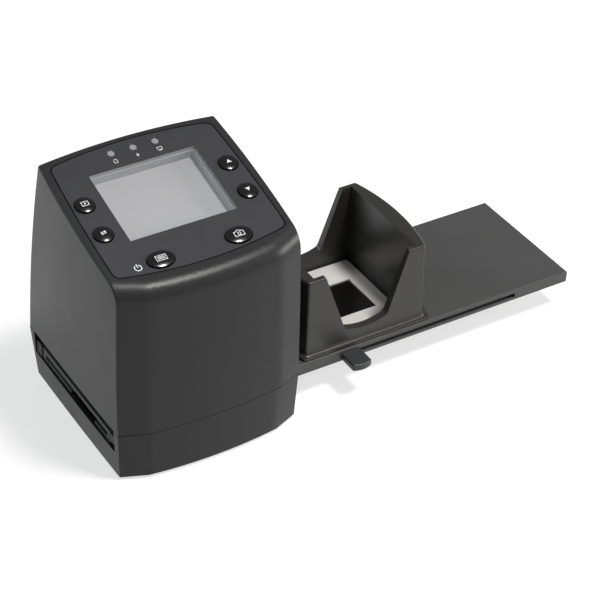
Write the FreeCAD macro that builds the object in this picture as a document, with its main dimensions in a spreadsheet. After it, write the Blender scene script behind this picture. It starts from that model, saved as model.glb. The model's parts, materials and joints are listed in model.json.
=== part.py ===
import FreeCAD, Part

import math
import os

import Sketcher
from FreeCAD import Placement, Rotation, Vector

# Tabletop scanner for film negatives and mounted slides.
#
# A tapered housing in two shells stands on four rubber feet. A channel runs through
# the lower shell from side to side. A flat feeder tray slides in that channel. It
# carries a magazine for mounted slides and a pusher with a knob at its front edge,
# which moves the lowest slide into the gate under the lens. The tilted top holds a
# fascia with the screen, six push buttons and three indicator lamps. The light box is
# below the gate, the lens and the image sensor are above it.
#
# X runs along the feeder, Y to the back, Z up. The origin is on the standing plane,
# under the middle of the housing. Lengths are in millimetres, angles in degrees.

SIZES = {
    # Housing outline, seen from above at the seam
    "body_width": 86.0,
    "body_front": 41.0,
    "body_back": 44.0,
    "facet_width": 11.5,
    "facet_depth": 4.6,
    "front_bow": 2.2,
    "back_bow": 2.8,
    "side_bow": 0.3,
    # Housing heights and lean
    "foot_proud": 1.0,
    "seam_height": 25.0,
    "seam_gap": 0.3,
    "panel_height": 107.6,
    "panel_tilt": 14.4,
    "panel_forward": 1.0,
    "side_lean": 2.4,
    "back_lean": 14.5,
    "side_bow_gain": 1.0,
    "base_side_inset": 0.9,
    "base_front_inset": 1.2,
    "base_back_inset": 5.0,
    # Housing walls and rounded edges
    "wall": 2.2,
    "base_floor": 2.0,
    "top_wall": 1.8,
    "front_round": 9.0,
    "soft_corner": 20.0,
    "rim_round": 0.9,
    "base_chamfer": 0.6,
    "lip_gap": 0.35,
    "lip_wall": 1.0,
    "lip_height": 2.0,
    "lip_root": 3.0,
    # Fascia, in the plane of the tilted top
    "fascia_thickness": 2.0,
    "fascia_seat_gap": 0.1,
    "fascia_groove": 0.5,
    "fascia_front_half": 38.5,
    "fascia_back_half": 37.0,
    "fascia_front": 34.2,
    "fascia_back": 28.6,
    "fascia_front_bow": 4.3,
    "fascia_back_bow": 3.6,
    "fascia_side_bow": 0.8,
    "fascia_corner": 3.2,
    # Screen
    "window_width": 48.6,
    "window_height": 37.8,
    "window_ledge": 0.4,
    "window_gap": 0.2,
    "window_thickness": 1.2,
    "window_sunk": 0.25,
    "screen_depth": 5.6,
    "screen_frame_wall": 1.3,
    "screen_width": 55.0,
    "screen_height": 42.0,
    "screen_thickness": 2.4,
    "pad_width": 40.0,
    "pad_height": 30.0,
    # Push buttons
    "round_button": 8.2,
    "oval_button_width": 11.8,
    "oval_button_height": 8.3,
    "button_gap": 0.35,
    "button_shoulder": 0.7,
    "button_height": 1.4,
    "button_flange": 1.0,
    "button_flange_rim": 0.9,
    "button_stem": 3.0,
    "button_travel": 0.7,
    "button_play": 0.25,
    "stem_gap": 0.1,
    "side_button_across": 32.9,
    "upper_button_up": 4.9,
    "lower_button_up": 12.0,
    "front_button_across": 17.6,
    "front_button_up": 32.1,
    # Indicator lamps
    "lamp_pitch": 10.2,
    "lamp_up": 27.2,
    "lamp_size": 3.0,
    "lamp_gap": 0.1,
    "lamp_proud": 0.1,
    "lamp_flange": 4.4,
    "lamp_flange_thickness": 1.0,
    # Main board behind the fascia
    "board_depth": 11.5,
    "board_thickness": 1.6,
    "board_width": 72.0,
    "board_front": 36.0,
    "board_back": 29.0,
    "board_boss_across": 27.0,
    "board_boss_back": 24.9,
    "board_boss_front": 25.4,
    "boss_radius": 2.6,
    "switch_width": 6.0,
    "switch_height": 3.0,
    "switch_stem": 1.6,
    "switch_stem_height": 0.9,
    "lamp_chip_length": 2.0,
    "lamp_chip_width": 1.2,
    "lamp_chip_height": 0.8,
    "processor_width": 14.0,
    "processor_height": 1.2,
    # Sockets on the back edge of the main board
    "socket_reach": 1.6,
    "usb_across": 20.5,
    "usb_width": 7.7,
    "usb_height": 3.9,
    "usb_length": 9.2,
    "card_across": 1.0,
    "card_width": 27.0,
    "card_height": 3.0,
    "card_length": 26.0,
    "video_across": 18.5,
    "video_width": 6.4,
    "video_height": 5.4,
    "video_length": 12.0,
    "video_bore": 3.5,
    "socket_wall": 0.6,
    "socket_gap": 0.5,
    # Channel through the housing
    "channel_centre": 1.2,
    "slot_depth": 76.4,
    "channel_floor": 13.4,
    "guide_inset": 4.7,
    "guide_plate": 2.0,
    "guide_gap": 0.3,
    "guide_end_gap": 0.5,
    "gate_clearance": 0.7,
    "gate_thickness": 3.0,
    "gate_lead": 1.5,
    "gate_length": 38.0,
    "gate_width": 28.0,
    # Light box below the gate
    "diffuser_drop": 0.2,
    "light_rim": 3.0,
    "light_wall": 4.0,
    "light_board_thickness": 1.4,
    "light_board_rim": 3.0,
    "light_chip": 3.0,
    "light_chip_height": 0.8,
    # Optics above the gate
    "tower_flange": 5.0,
    "tower_flange_thickness": 1.8,
    "tower_wall": 2.0,
    "tower_rim": 5.0,
    "tower_neck": 26.0,
    "tower_neck_height": 60.0,
    "tower_top": 76.0,
    "lens_radius": 7.0,
    "lens_gap": 0.06,
    "lens_bore": 5.0,
    "lens_low": 57.0,
    "lens_high": 72.0,
    "lens_glass_sunk": 1.2,
    "lens_glass_thickness": 2.6,
    "lens_lip": 0.6,
    "sensor_board_width": 30.0,
    "sensor_board_thickness": 1.4,
    "sensor_width": 9.0,
    "sensor_height": 1.3,
    # Screws
    "case_screw_across": 30.0,
    "case_screw_front": 34.4,
    "case_screw_back": 36.1,
    "case_post": 3.3,
    "case_boss_height": 20.0,
    "case_rib": 1.6,
    "screw_shank": 1.2,
    "screw_gap": 0.15,
    "screw_head": 2.3,
    "screw_head_height": 1.5,
    "screw_cover": 1.6,
    "small_screw_shank": 0.8,
    "small_screw_head": 1.6,
    "small_screw_head_height": 1.0,
    "small_screw_bite": 4.5,
    "small_screw_gap": 0.1,
    "boss_gap": 0.1,
    # Rubber feet
    "foot_radius": 4.5,
    "foot_sunk": 0.6,
    "foot_across": 34.0,
    "foot_front": 26.0,
    "foot_back": 27.0,
    "foot_round": 0.4,
    # Feeder tray
    "tray_width": 65.0,
    "tray_left": 37.0,
    "tray_right": 194.0,
    "tray_clearance": 0.3,
    "tray_thickness": 5.8,
    "tray_floor": 1.6,
    "tray_cover": 2.0,
    "cover_joint": 0.1,
    "tray_end_wall": 1.6,
    "tray_edge": 0.5,
    "tray_screw_edge": 3.4,
    # Slide and film
    "slide_side": 50.0,
    "slide_thickness": 1.8,
    "slide_corner": 1.6,
    "slide_play": 0.5,
    "film_window_length": 35.2,
    "film_window_width": 23.0,
    "film_thickness": 0.3,
    "film_margin": 1.2,
    "slide_rest": 0.1,
    # Magazine
    "magazine_centre": 85.0,
    "magazine_play": 1.0,
    "magazine_top": 58.7,
    "magazine_front_wall": 2.7,
    "magazine_end_wall": 3.4,
    "magazine_bow": 4.6,
    "magazine_taper": 1.75,
    "magazine_foot": 1.4,
    "magazine_foot_reach": 3.0,
    "magazine_cove": 1.6,
    "magazine_corner": 1.6,
    "magazine_edge": 1.2,
    "cutout_top": 42.4,
    "cutout_bottom": 22.0,
    "cutout_floor": 26.4,
    "cutout_bow": 2.2,
    "cutout_round": 4.0,
    # Pusher
    "pusher_travel": 85.0,
    "pusher_thickness": 1.8,
    "pusher_length": 81.0,
    "pusher_gap": 0.4,
    "pusher_lift": 0.1,
    "knob_centre": 75.6,
    "knob_width": 9.6,
    "knob_reach": 10.8,
    "knob_thickness": 3.4,
    "knob_drop": 0.5,
    "knob_gap": 0.35,
    "knob_tip_bow": 1.3,
    "knob_edge": 0.8,
    "tongue_width": 6.4,
    "slot_end_gap": 0.8,
    # One overrun serves all cuts
    "overrun": 2.0,
}

# Heights of the housing sections, as shares of the loft from the seam up
SECTION_SHARES = (0.0, 0.33, 0.66, 1.0)
# Share of the back wall's lean that is steady, the rest grows with height
STEADY_LEAN_SHARE = 0.6
# How far the dome of a button reaches past its edge, as a share of its half width
DOME_SHARE = 1.25
# Places of the backlight lamps, as shares of the light opening's half length and width
LIGHT_CHIP_SHARES = ((-0.6, -0.5), (-0.6, 0.5), (0.0, 0.0), (0.6, -0.5), (0.6, 0.5))
# Places of the tray screws along the tray, as shares of its length
TRAY_SCREW_SHARES = (0.04, 0.36, 0.44, 0.95)


class Size:
    """A size: its value now, and the formula that ties it to the spreadsheet."""

    def __init__(self, value, formula):
        self.value = float(value)
        self.formula = formula

    def __add__(self, other):
        return Size(self.value + number(other), f"({self.formula} + {formula(other)})")

    def __radd__(self, other):
        return Size(number(other) + self.value, f"({formula(other)} + {self.formula})")

    def __sub__(self, other):
        return Size(self.value - number(other), f"({self.formula} - {formula(other)})")

    def __rsub__(self, other):
        return Size(number(other) - self.value, f"({formula(other)} - {self.formula})")

    def __mul__(self, other):
        return Size(self.value * number(other), f"({self.formula} * {formula(other)})")

    def __rmul__(self, other):
        return Size(number(other) * self.value, f"({formula(other)} * {self.formula})")

    def __truediv__(self, other):
        return Size(self.value / number(other), f"({self.formula} / {formula(other)})")

    def __neg__(self):
        return Size(-self.value, f"(0 - {self.formula})")


def number(item):
    """The plain value of a size or a number."""
    return item.value if isinstance(item, Size) else float(item)


def formula(item):
    """The formula text of a size or a number."""
    if isinstance(item, Size):
        return item.formula
    return f"({item!r})" if item < 0 else repr(item)


def sine(angle):
    """Sine of an angle size in degrees."""
    return Size(math.sin(math.radians(angle.value)), f"sin({angle.formula})")


def cosine(angle):
    """Cosine of an angle size in degrees."""
    return Size(math.cos(math.radians(angle.value)), f"cos({angle.formula})")


def tangent(angle):
    """Tangent of an angle size in degrees."""
    return Size(math.tan(math.radians(angle.value)), f"tan({angle.formula})")


ZERO = 0.0
RIGHT_ANGLE = 90.0
MIDDLE = Size(ZERO, "0")

document = FreeCAD.newDocument("FilmScanner")
sheet = document.addObject("Spreadsheet::Sheet", "Sizes")
for row, (alias, amount) in enumerate(SIZES.items(), start=1):
    sheet.set(f"A{row}", alias)
    sheet.set(f"B{row}", str(amount))
    sheet.setAlias(f"B{row}", alias)
document.recompute()


def size(alias):
    """The size that the spreadsheet keeps under an alias."""
    return Size(sheet.get(alias), f"Sizes.{alias}")


# Outlines and sketches


class Outline:
    """A closed outline of lines and arcs, its points given in sizes.

    It runs counter-clockwise. A positive bow lets an arc stand out to the outside.
    """

    def __init__(self, across, up):
        self.points = [(across, up)]
        self.bows = []

    def line(self, across, up):
        self.points.append((across, up))
        self.bows.append(None)
        return self

    def arc(self, across, up, bow):
        self.points.append((across, up))
        self.bows.append(bow)
        return self

    def close(self, bow=None):
        self.bows.append(bow)
        return self


class Circle:
    """A circle, its centre and radius given in sizes."""

    def __init__(self, across, up, radius):
        self.across = across
        self.up = up
        self.radius = radius


def rectangle(left, right, low, high):
    """The outline of a rectangle between two corners."""
    return Outline(left, low).line(right, low).line(right, high).line(left, high).close()


def centred_rectangle(across, up, width, height):
    """The outline of a rectangle about a centre."""
    half_width = width / 2
    half_height = height / 2
    return rectangle(across - half_width, across + half_width, up - half_height, up + half_height)


def fix_point(sketch, geometry, end, across, up):
    """Tie one point of a sketch to its place from the origin."""
    for kind, axis, place in (("DistanceX", -2, across), ("DistanceY", -1, up)):
        if number(place) == ZERO:
            sketch.addConstraint(Sketcher.Constraint("PointOnObject", geometry, end, axis))
            continue
        index = sketch.addConstraint(Sketcher.Constraint(kind, -1, 1, geometry, end, number(place)))
        sketch.setExpression(f"Constraints[{index}]", formula(place))


def draw_circle(sketch, circle):
    """Add a circle to a sketch, with its centre and radius tied to their sizes."""
    centre = Vector(number(circle.across), number(circle.up), ZERO)
    index = sketch.addGeometry(Part.Circle(centre, Vector(0, 0, 1), number(circle.radius)), False)
    fix_point(sketch, index, 3, circle.across, circle.up)
    radius = sketch.addConstraint(Sketcher.Constraint("Radius", index, number(circle.radius)))
    sketch.setExpression(f"Constraints[{radius}]", formula(circle.radius))


def draw_outline(sketch, outline):
    """Add an outline to a sketch, with every point and radius tied to its sizes."""
    corners = [Vector(number(across), number(up), ZERO) for across, up in outline.points]
    ends = []
    for index, bow in enumerate(outline.bows):
        following = (index + 1) % len(corners)
        start, finish = corners[index], corners[following]
        if bow is None:
            geometry = sketch.addGeometry(Part.LineSegment(start, finish), False)
            ends.append((geometry, 1, 2))
            continue
        run = finish - start
        outside = Vector(run.y, -run.x, ZERO).normalize()
        middle = (start + finish) / 2 + outside * number(bow)
        if number(bow) > ZERO:
            geometry = sketch.addGeometry(Part.Arc(start, middle, finish), False)
            ends.append((geometry, 1, 2))
        else:
            geometry = sketch.addGeometry(Part.Arc(finish, middle, start), False)
            ends.append((geometry, 2, 1))
    for index, bow in enumerate(outline.bows):
        following = (index + 1) % len(corners)
        geometry, start_end, finish_end = ends[index]
        next_geometry, next_end, _ = ends[following]
        sketch.addConstraint(
            Sketcher.Constraint("Coincident", geometry, finish_end, next_geometry, next_end)
        )
        fix_point(sketch, geometry, start_end, *outline.points[index])
        if bow is not None:
            width = outline.points[following][0] - outline.points[index][0]
            height = outline.points[following][1] - outline.points[index][1]
            depth = bow if number(bow) > ZERO else -bow
            radius = (width * width + height * height + depth * depth * 4) / (depth * 8)
            place = sketch.addConstraint(Sketcher.Constraint("Radius", geometry, number(radius)))
            sketch.setExpression(f"Constraints[{place}]", formula(radius))


def add_sketch(body, name, plane, height, shapes):
    """Make a sketch on one of the body's own origin planes, at a height along its normal."""
    sketch = body.newObject("Sketcher::SketchObject", name)
    support = [item for item in body.Origin.OriginFeatures if item.Role == plane][0]
    sketch.AttachmentSupport = [(support, "")]
    sketch.MapMode = "FlatFace"
    sketch.AttachmentOffset = Placement(Vector(ZERO, ZERO, number(height)), Rotation())
    if number(height) != ZERO:
        sketch.setExpression("AttachmentOffset.Base.z", formula(height))
    for shape in shapes:
        if isinstance(shape, Circle):
            draw_circle(sketch, shape)
        else:
            draw_outline(sketch, shape)
    return sketch


# Solid features of a body

# Each plane with the axis across it, and whether its normal runs against that axis
PLANE_OF_AXIS = {"x": ("YZ_Plane", False), "y": ("XZ_Plane", True), "z": ("XY_Plane", False)}


def new_body(name):
    """Make an empty body under its own name."""
    body = document.addObject("PartDesign::Body", name)
    body.Label = name
    return body


def pad(body, name, axis, low, high, *shapes):
    """Pad outlines along an axis, from the low to the high coordinate."""
    plane, reversed_normal = PLANE_OF_AXIS[axis]
    height = -high if reversed_normal else low
    sketch = add_sketch(body, name + "Sketch", plane, height, shapes)
    feature = body.newObject("PartDesign::Pad", name)
    feature.Profile = sketch
    feature.setExpression("Length", formula(high - low))
    body.Tip = feature
    document.recompute()
    return feature


def plain_pad(name, outline, low, high):
    """A body of a single upright pad."""
    body = new_body(name)
    pad(body, name + "_pad", "z", low, high, outline)
    return body


def pocket(body, name, axis, low, high, *shapes):
    """Cut outlines out along an axis, from the low to the high coordinate."""
    plane, reversed_normal = PLANE_OF_AXIS[axis]
    height = -low if reversed_normal else high
    before = body.Shape.Volume
    sketch = add_sketch(body, name + "Sketch", plane, height, shapes)
    feature = body.newObject("PartDesign::Pocket", name)
    feature.Profile = sketch
    feature.setExpression("Length", formula(high - low))
    body.Tip = feature
    document.recompute()
    if not body.Shape.Volume < before:
        raise RuntimeError(f"{body.Label}: {name} cuts nothing")
    return feature


def loft(body, name, kind, sections, ruled=False):
    """Loft through horizontal sections, each a pair of height and outline."""
    sketches = [
        add_sketch(body, f"{name}Section{index}", "XY_Plane", height, [outline])
        for index, (height, outline) in enumerate(sections)
    ]
    feature = body.newObject(f"PartDesign::{kind}", name)
    feature.Profile = sketches[0]
    feature.Sections = sketches[1:]
    feature.Ruled = ruled
    body.Tip = feature
    document.recompute()
    return feature


def dress(body, name, kind, amount, chosen):
    """Round or chamfer the edges of a body that a test chooses."""
    base = body.Tip
    names = [f"Edge{index}" for index, edge in enumerate(base.Shape.Edges, start=1) if chosen(edge)]
    if not names:
        raise RuntimeError(f"{body.Label}: {name} finds no edge")
    feature = body.newObject(f"PartDesign::{kind}", name)
    feature.Base = (base, names)
    size_name = "Radius" if kind == "Fillet" else "Size"
    feature.setExpression(size_name, formula(amount))
    body.Tip = feature
    document.recompute()
    if "Invalid" in feature.State or not feature.Shape.isValid():
        raise RuntimeError(f"{body.Label}: {name} fails on {names}")
    return feature


# Plain solids and booleans


def place(item, x, y, z):
    """Put an object at a place given in sizes."""
    for axis, amount in (("x", x), ("y", y), ("z", z)):
        item.setExpression(f".Placement.Base.{axis}", formula(amount))
    return item


def block(name, left, right, front, back, low, high):
    """A box between two corners."""
    item = document.addObject("Part::Box", name)
    item.Label = name
    item.setExpression("Length", formula(right - left))
    item.setExpression("Width", formula(back - front))
    item.setExpression("Height", formula(high - low))
    return place(item, left, front, low)


def rod(name, x, y, low, high, radius):
    """An upright cylinder between two heights."""
    item = document.addObject("Part::Cylinder", name)
    item.Label = name
    item.setExpression("Radius", formula(radius))
    item.setExpression("Height", formula(high - low))
    return place(item, x, y, low)


def oval_rod(name, x, y, low, high, half_width, half_height):
    """An upright rod of elliptical section."""
    ring = document.addObject("Part::Ellipse", name + "Ring")
    ring.setExpression("MajorRadius", formula(half_width))
    ring.setExpression("MinorRadius", formula(half_height))
    place(ring, x, y, low)
    item = document.addObject("Part::Extrusion", name)
    item.Label = name
    item.Base = ring
    item.DirMode = "Normal"
    item.Solid = True
    item.setExpression("LengthFwd", formula(high - low))
    return item


def fuse(name, *items):
    """Join solids into one."""
    joined = document.addObject("Part::MultiFuse", name)
    joined.Label = name
    joined.Shapes = list(items)
    joined.Refine = True
    return joined


def cut(name, base, *tools):
    """Cut tools out of a solid."""
    tool = tools[0] if len(tools) == 1 else fuse(name + "Tools", *tools)
    rest = document.addObject("Part::Cut", name)
    rest.Label = name
    rest.Base = base
    rest.Tool = tool
    rest.Refine = True
    document.recompute()
    if not rest.Shape.Volume < base.Shape.Volume:
        raise RuntimeError(f"{name}: the cut takes nothing away")
    return rest


def common(name, base, tool):
    """Keep what two solids share."""
    shared = document.addObject("Part::Common", name)
    shared.Label = name
    shared.Base = base
    shared.Tool = tool
    return shared


def group(name, *items):
    """Hold like pieces together as one node of separate solids."""
    held = document.addObject("Part::Compound", name)
    held.Label = name
    held.Links = list(items)
    return held


def on_panel(item):
    """Tilt an object that is drawn flat into the plane of the tilted top."""
    forward = size("panel_forward")
    item.Placement = Placement(Vector(), Rotation(Vector(1, 0, 0), PANEL_TILT.value))
    item.setExpression(".Placement.Rotation.Angle", formula(PANEL_TILT))
    return place(item, MIDDLE, -forward, PANEL_HEIGHT - forward * tangent(PANEL_TILT))


def upright(edge):
    """Whether an edge runs mainly upwards."""
    ends = [vertex.Point for vertex in edge.Vertexes]
    if len(ends) < 2:
        return False
    run = ends[1] - ends[0]
    return abs(run.z) > abs(run.x) + abs(run.y)


def middle_of(edge):
    """The point halfway along an edge."""
    return edge.valueAt((edge.FirstParameter + edge.LastParameter) / 2)


def level_at(edge, height):
    """Whether a whole edge lies at one height."""
    span = edge.BoundBox
    return abs(span.ZMin - number(height)) < NEAR and abs(span.ZMax - number(height)) < NEAR


NEAR = 1e-4
OVERRUN = size("overrun")
PANEL_HEIGHT = size("panel_height")
PANEL_TILT = size("panel_tilt")

# Housing

SEAM = size("seam_height")
WALL = size("wall")
LOFT_TOP = PANEL_HEIGHT + size("body_back") * tangent(PANEL_TILT)


def housing_outline(half_width, front, back, side_bow, inset):
    """The bowed outline of the housing, seen from above.

    The front has a flat facet at each end and a bow between them.
    """
    half = half_width - inset
    facet = half - size("facet_width")
    low = -(front - inset)
    nose = low - size("facet_depth")
    high = back - inset
    return (
        Outline(-half, low)
        .line(-facet, nose)
        .arc(facet, nose, size("front_bow"))
        .line(half, low)
        .arc(half, high, side_bow)
        .arc(-half, high, size("back_bow"))
        .close(side_bow)
    )


def cover_section(height, inset):
    """A level section of the upper cover, pulled in by an inset."""
    share = (height - SEAM) / (LOFT_TOP - SEAM)
    steady = share * STEADY_LEAN_SHARE + share * share * (1 - STEADY_LEAN_SHARE)
    return housing_outline(
        size("body_width") / 2 - size("side_lean") * share * share,
        size("body_front"),
        size("body_back") - size("back_lean") * steady,
        size("side_bow") + size("side_bow_gain") * share,
        inset,
    )


def base_section(height, inset):
    """A level section of the base cover, pulled in by an inset."""
    share = (SEAM - height) / SEAM
    return housing_outline(
        size("body_width") / 2 - size("base_side_inset") * share,
        size("body_front") - size("base_front_inset") * share,
        size("body_back") - size("base_back_inset") * share,
        size("side_bow"),
        inset,
    )


def lofted_cover(name, bottom, inset, top_drop, round_size):
    """The tapered block of the cover, cut by the tilted top and rounded at its front."""
    body = new_body(name)
    heights = [bottom + (LOFT_TOP - bottom) * share for share in SECTION_SHARES]
    sections = [(height, cover_section(height, inset)) for height in heights]
    loft(body, name + "Loft", "AdditiveLoft", sections)
    reach = size("body_width")
    level = PANEL_HEIGHT - top_drop / cosine(PANEL_TILT)
    rise = reach * tangent(PANEL_TILT)
    above = (
        Outline(-reach, level - rise)
        .line(reach, level + rise)
        .line(reach, level + rise + reach)
        .line(-reach, level + rise + reach)
        .close()
    )
    pocket(body, name + "Slope", "x", -reach, reach, above)
    facet_middle = (size("body_width") / 2 - size("facet_width") / 2).value

    def soft(edge):
        return upright(edge) and abs(edge.CenterOfMass.x) < facet_middle

    def front_top(edge):
        middle = edge.CenterOfMass
        ends = [vertex.Point for vertex in edge.Vertexes]
        on_top = all(abs(end.z - level.value - end.y * slope) < NEAR for end in ends)
        return on_top and middle.y < -number(size("body_front") - inset)

    slope = tangent(PANEL_TILT).value
    dress(body, name + "Soft", "Fillet", size("soft_corner"), soft)
    dress(body, name + "FrontRound", "Fillet", round_size, front_top)
    return body


def sharp_rim(edge):
    """Whether an edge is one of the cover's crisp outer edges, above the seam."""
    middle = edge.CenterOfMass
    side = (size("body_width") / 2 - size("side_lean") - size("rim_round") - size("side_bow")).value
    on_side = abs(middle.x) > side
    on_back = middle.y > ZERO and middle.z > PANEL_HEIGHT.value
    return edge.BoundBox.ZMax > (SEAM + size("seam_gap")).value and (on_side or on_back)


# Depths below the plane of the tilted top, used by all that hangs from it
FASCIA_SEAT = size("fascia_thickness") + size("fascia_seat_gap")
UNDER_TOP = FASCIA_SEAT + size("top_wall")
BOARD_TOP = -size("board_depth")
BOARD_UNDER = BOARD_TOP - size("board_thickness")
SCREEN_TOP = -size("screen_depth")
FRAME_WIDTH = size("window_width") + size("screen_frame_wall") * 2
FRAME_HEIGHT = size("window_height") + size("screen_frame_wall") * 2

# Button places across and up the panel, with their half width and half height
ROUND_HALF = size("round_button") / 2
OVAL_HALVES = (size("oval_button_width") / 2, size("oval_button_height") / 2)
SIDE_ACROSS = size("side_button_across")
FRONT_ACROSS = size("front_button_across")
BUTTONS = {
    "playback_button": (-SIDE_ACROSS, size("upper_button_up"), ROUND_HALF, ROUND_HALF),
    "flip_button": (-SIDE_ACROSS, -size("lower_button_up"), ROUND_HALF, ROUND_HALF),
    "up_button": (SIDE_ACROSS, size("upper_button_up"), ROUND_HALF, ROUND_HALF),
    "down_button": (SIDE_ACROSS, -size("lower_button_up"), ROUND_HALF, ROUND_HALF),
    "menu_button": (-FRONT_ACROSS, -size("front_button_up"), *OVAL_HALVES),
    "capture_button": (FRONT_ACROSS, -size("front_button_up"), *OVAL_HALVES),
}
LAMP_PLACES = [(size("lamp_pitch") * step, size("lamp_up")) for step in (-1, 0, 1)]
BOARD_SCREWS = [
    (size("board_boss_across") * side, up)
    for side in (-1, 1)
    for up in (-size("board_boss_front"), size("board_boss_back"))
]
# Sockets: place across, width, height and length
SOCKETS = {
    "usb_socket": (-size("usb_across"), size("usb_width"), size("usb_height"), size("usb_length")),
    "card_socket": (-size("card_across"), size("card_width"), size("card_height"), size("card_length")),
    "video_socket": (
        size("video_across"), size("video_width"), size("video_height"), size("video_length"),
    ),
}
SOCKET_BACK = size("board_back") + size("socket_reach")

# The channel through the housing, and what lines up with it
CHANNEL_MIDDLE = size("channel_centre")
SLOT_FRONT = CHANNEL_MIDDLE - size("slot_depth") / 2
SLOT_BACK = CHANNEL_MIDDLE + size("slot_depth") / 2
CHANNEL_FLOOR = size("channel_floor")
TRAY_FRONT = CHANNEL_MIDDLE - size("tray_width") / 2
TRAY_BACK = CHANNEL_MIDDLE + size("tray_width") / 2
TRAY_LOW = CHANNEL_FLOOR + size("tray_clearance")
TRAY_HIGH = TRAY_LOW + size("tray_thickness")
GUIDE_SIDE = size("body_width") / 2 - size("guide_inset")
GUIDE_FRONT = SLOT_FRONT + size("guide_end_gap")
GUIDE_BACK = SLOT_BACK - size("guide_end_gap")
GUIDE_LOW = CHANNEL_FLOOR - size("guide_plate")
GATE_LOW = TRAY_HIGH + size("gate_clearance")
GATE_HIGH = GATE_LOW + size("gate_thickness")
BASE_UNDER = size("foot_proud")
BASE_INSIDE = BASE_UNDER + size("base_floor")
CASE_SCREWS = [
    (size("case_screw_across") * side, along)
    for side in (-1, 1)
    for along in (-size("case_screw_front"), size("case_screw_back"))
]
SHANK_HOLE = size("screw_shank") + size("screw_gap")
BOSS_TOP = GATE_HIGH + size("case_boss_height")
SMALL_HOLE = size("small_screw_shank") + size("small_screw_gap")
FEET = [
    (size("foot_across") * side, along)
    for side in (-1, 1)
    for along in (-size("foot_front"), size("foot_back"))
]


def fascia_outline(grow):
    """The outline of the fascia plate, or of its seat when grown by the groove."""
    front_half = size("fascia_front_half") + grow
    back_half = size("fascia_back_half") + grow
    front = -size("fascia_front") - grow
    back = size("fascia_back") + grow
    return (
        Outline(-front_half, front)
        .arc(front_half, front, size("fascia_front_bow"))
        .arc(back_half, back, size("fascia_side_bow"))
        .arc(-back_half, back, size("fascia_back_bow"))
        .close(size("fascia_side_bow"))
    )


def panel_holes(name, low, high):
    """The holes for the buttons and lamps, cut through the cover and the fascia."""
    gap = size("button_gap")
    holes = [
        oval_rod(f"{name}_{button}", across, up, low, high, half + gap, half_up + gap)
        for button, (across, up, half, half_up) in BUTTONS.items()
    ]
    radius = size("lamp_size") / 2 + size("lamp_gap")
    for index, (across, up) in enumerate(LAMP_PLACES):
        holes.append(rod(f"{name}Lamp{index}", across, up, low, high, radius))
    return holes


def build_upper_cover():
    """The tapered cover with its openings for the fascia, screen, buttons and sockets."""
    bottom = SEAM + size("seam_gap") / 2
    outside = lofted_cover("CoverOutside", bottom, MIDDLE, MIDDLE, size("front_round"))
    dress(outside, "CoverRims", "Fillet", size("rim_round"), sharp_rim)
    core = lofted_cover("CoverCore", bottom - OVERRUN, WALL, UNDER_TOP, size("front_round") - WALL)

    seat = new_body("FasciaSeat")
    pad(seat, "SeatPad", "z", -FASCIA_SEAT, OVERRUN, fascia_outline(size("fascia_groove")))
    dress(seat, "SeatCorners", "Fillet", size("fascia_corner") + size("fascia_groove"), upright)
    on_panel(seat)

    low = -UNDER_TOP - OVERRUN
    half_width = FRAME_WIDTH / 2 + size("window_gap")
    half_height = FRAME_HEIGHT / 2 + size("window_gap")
    through = [
        block("ScreenOpening", -half_width, half_width, -half_height, half_height, low, MIDDLE)
    ]
    through += panel_holes("Cover", low, MIDDLE)
    gap = size("socket_gap")
    for name, (across, width, height, _) in SOCKETS.items():
        half = width / 2 + gap
        back = size("board_back") + size("body_back")
        through.append(
            block(name + "Opening", across - half, across + half, size("board_back"), back,
                  BOARD_UNDER - height - gap, BOARD_UNDER + gap)
        )
    openings = on_panel(fuse("PanelOpenings", *through))

    board_bosses = []
    board_holes = []
    boss_high = -FASCIA_SEAT - size("top_wall") / 2
    hole_high = BOARD_TOP + size("small_screw_bite") + size("small_screw_gap")
    for index, (across, up) in enumerate(BOARD_SCREWS):
        board_bosses.append(
            rod(f"BoardBoss{index}", across, up, BOARD_TOP, boss_high, size("boss_radius"))
        )
        board_holes.append(
            rod(f"BoardBossHole{index}", across, up, BOARD_TOP - OVERRUN, hole_high, SMALL_HOLE)
        )
    hanging = on_panel(fuse("BoardBosses", *board_bosses))
    hanging_holes = on_panel(fuse("BoardBossHoles", *board_holes))

    posts = []
    post_holes = []
    boss_low = GATE_HIGH + size("boss_gap")
    rib_low = bottom + size("lip_height") + size("lip_gap")
    reach = size("body_back") + size("facet_depth") + OVERRUN
    half = size("case_rib") / 2
    for index, (across, along) in enumerate(CASE_SCREWS):
        posts.append(rod(f"CaseBoss{index}", across, along, boss_low, BOSS_TOP, size("case_post")))
        front, back = (-reach, along) if along.value < ZERO else (along, reach)
        posts.append(
            block(f"CaseRib{index}", across - half, across + half, front, back, rib_low, BOSS_TOP)
        )
        hole_top = BOSS_TOP - size("case_rib")
        post_holes.append(
            rod(f"CaseBossHole{index}", across, along, boss_low - OVERRUN, hole_top, SHANK_HOLE)
        )
    inside = common("CaseBosses", fuse("CaseBossesWhole", *posts), outside)
    shell = cut("CoverShell", outside, core, seat)
    opened = cut("CoverOpened", shell, openings)
    ribbed = fuse("CoverRibbed", opened, inside, hanging)
    return cut("upper_cover", ribbed, hanging_holes, *post_holes)


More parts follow.
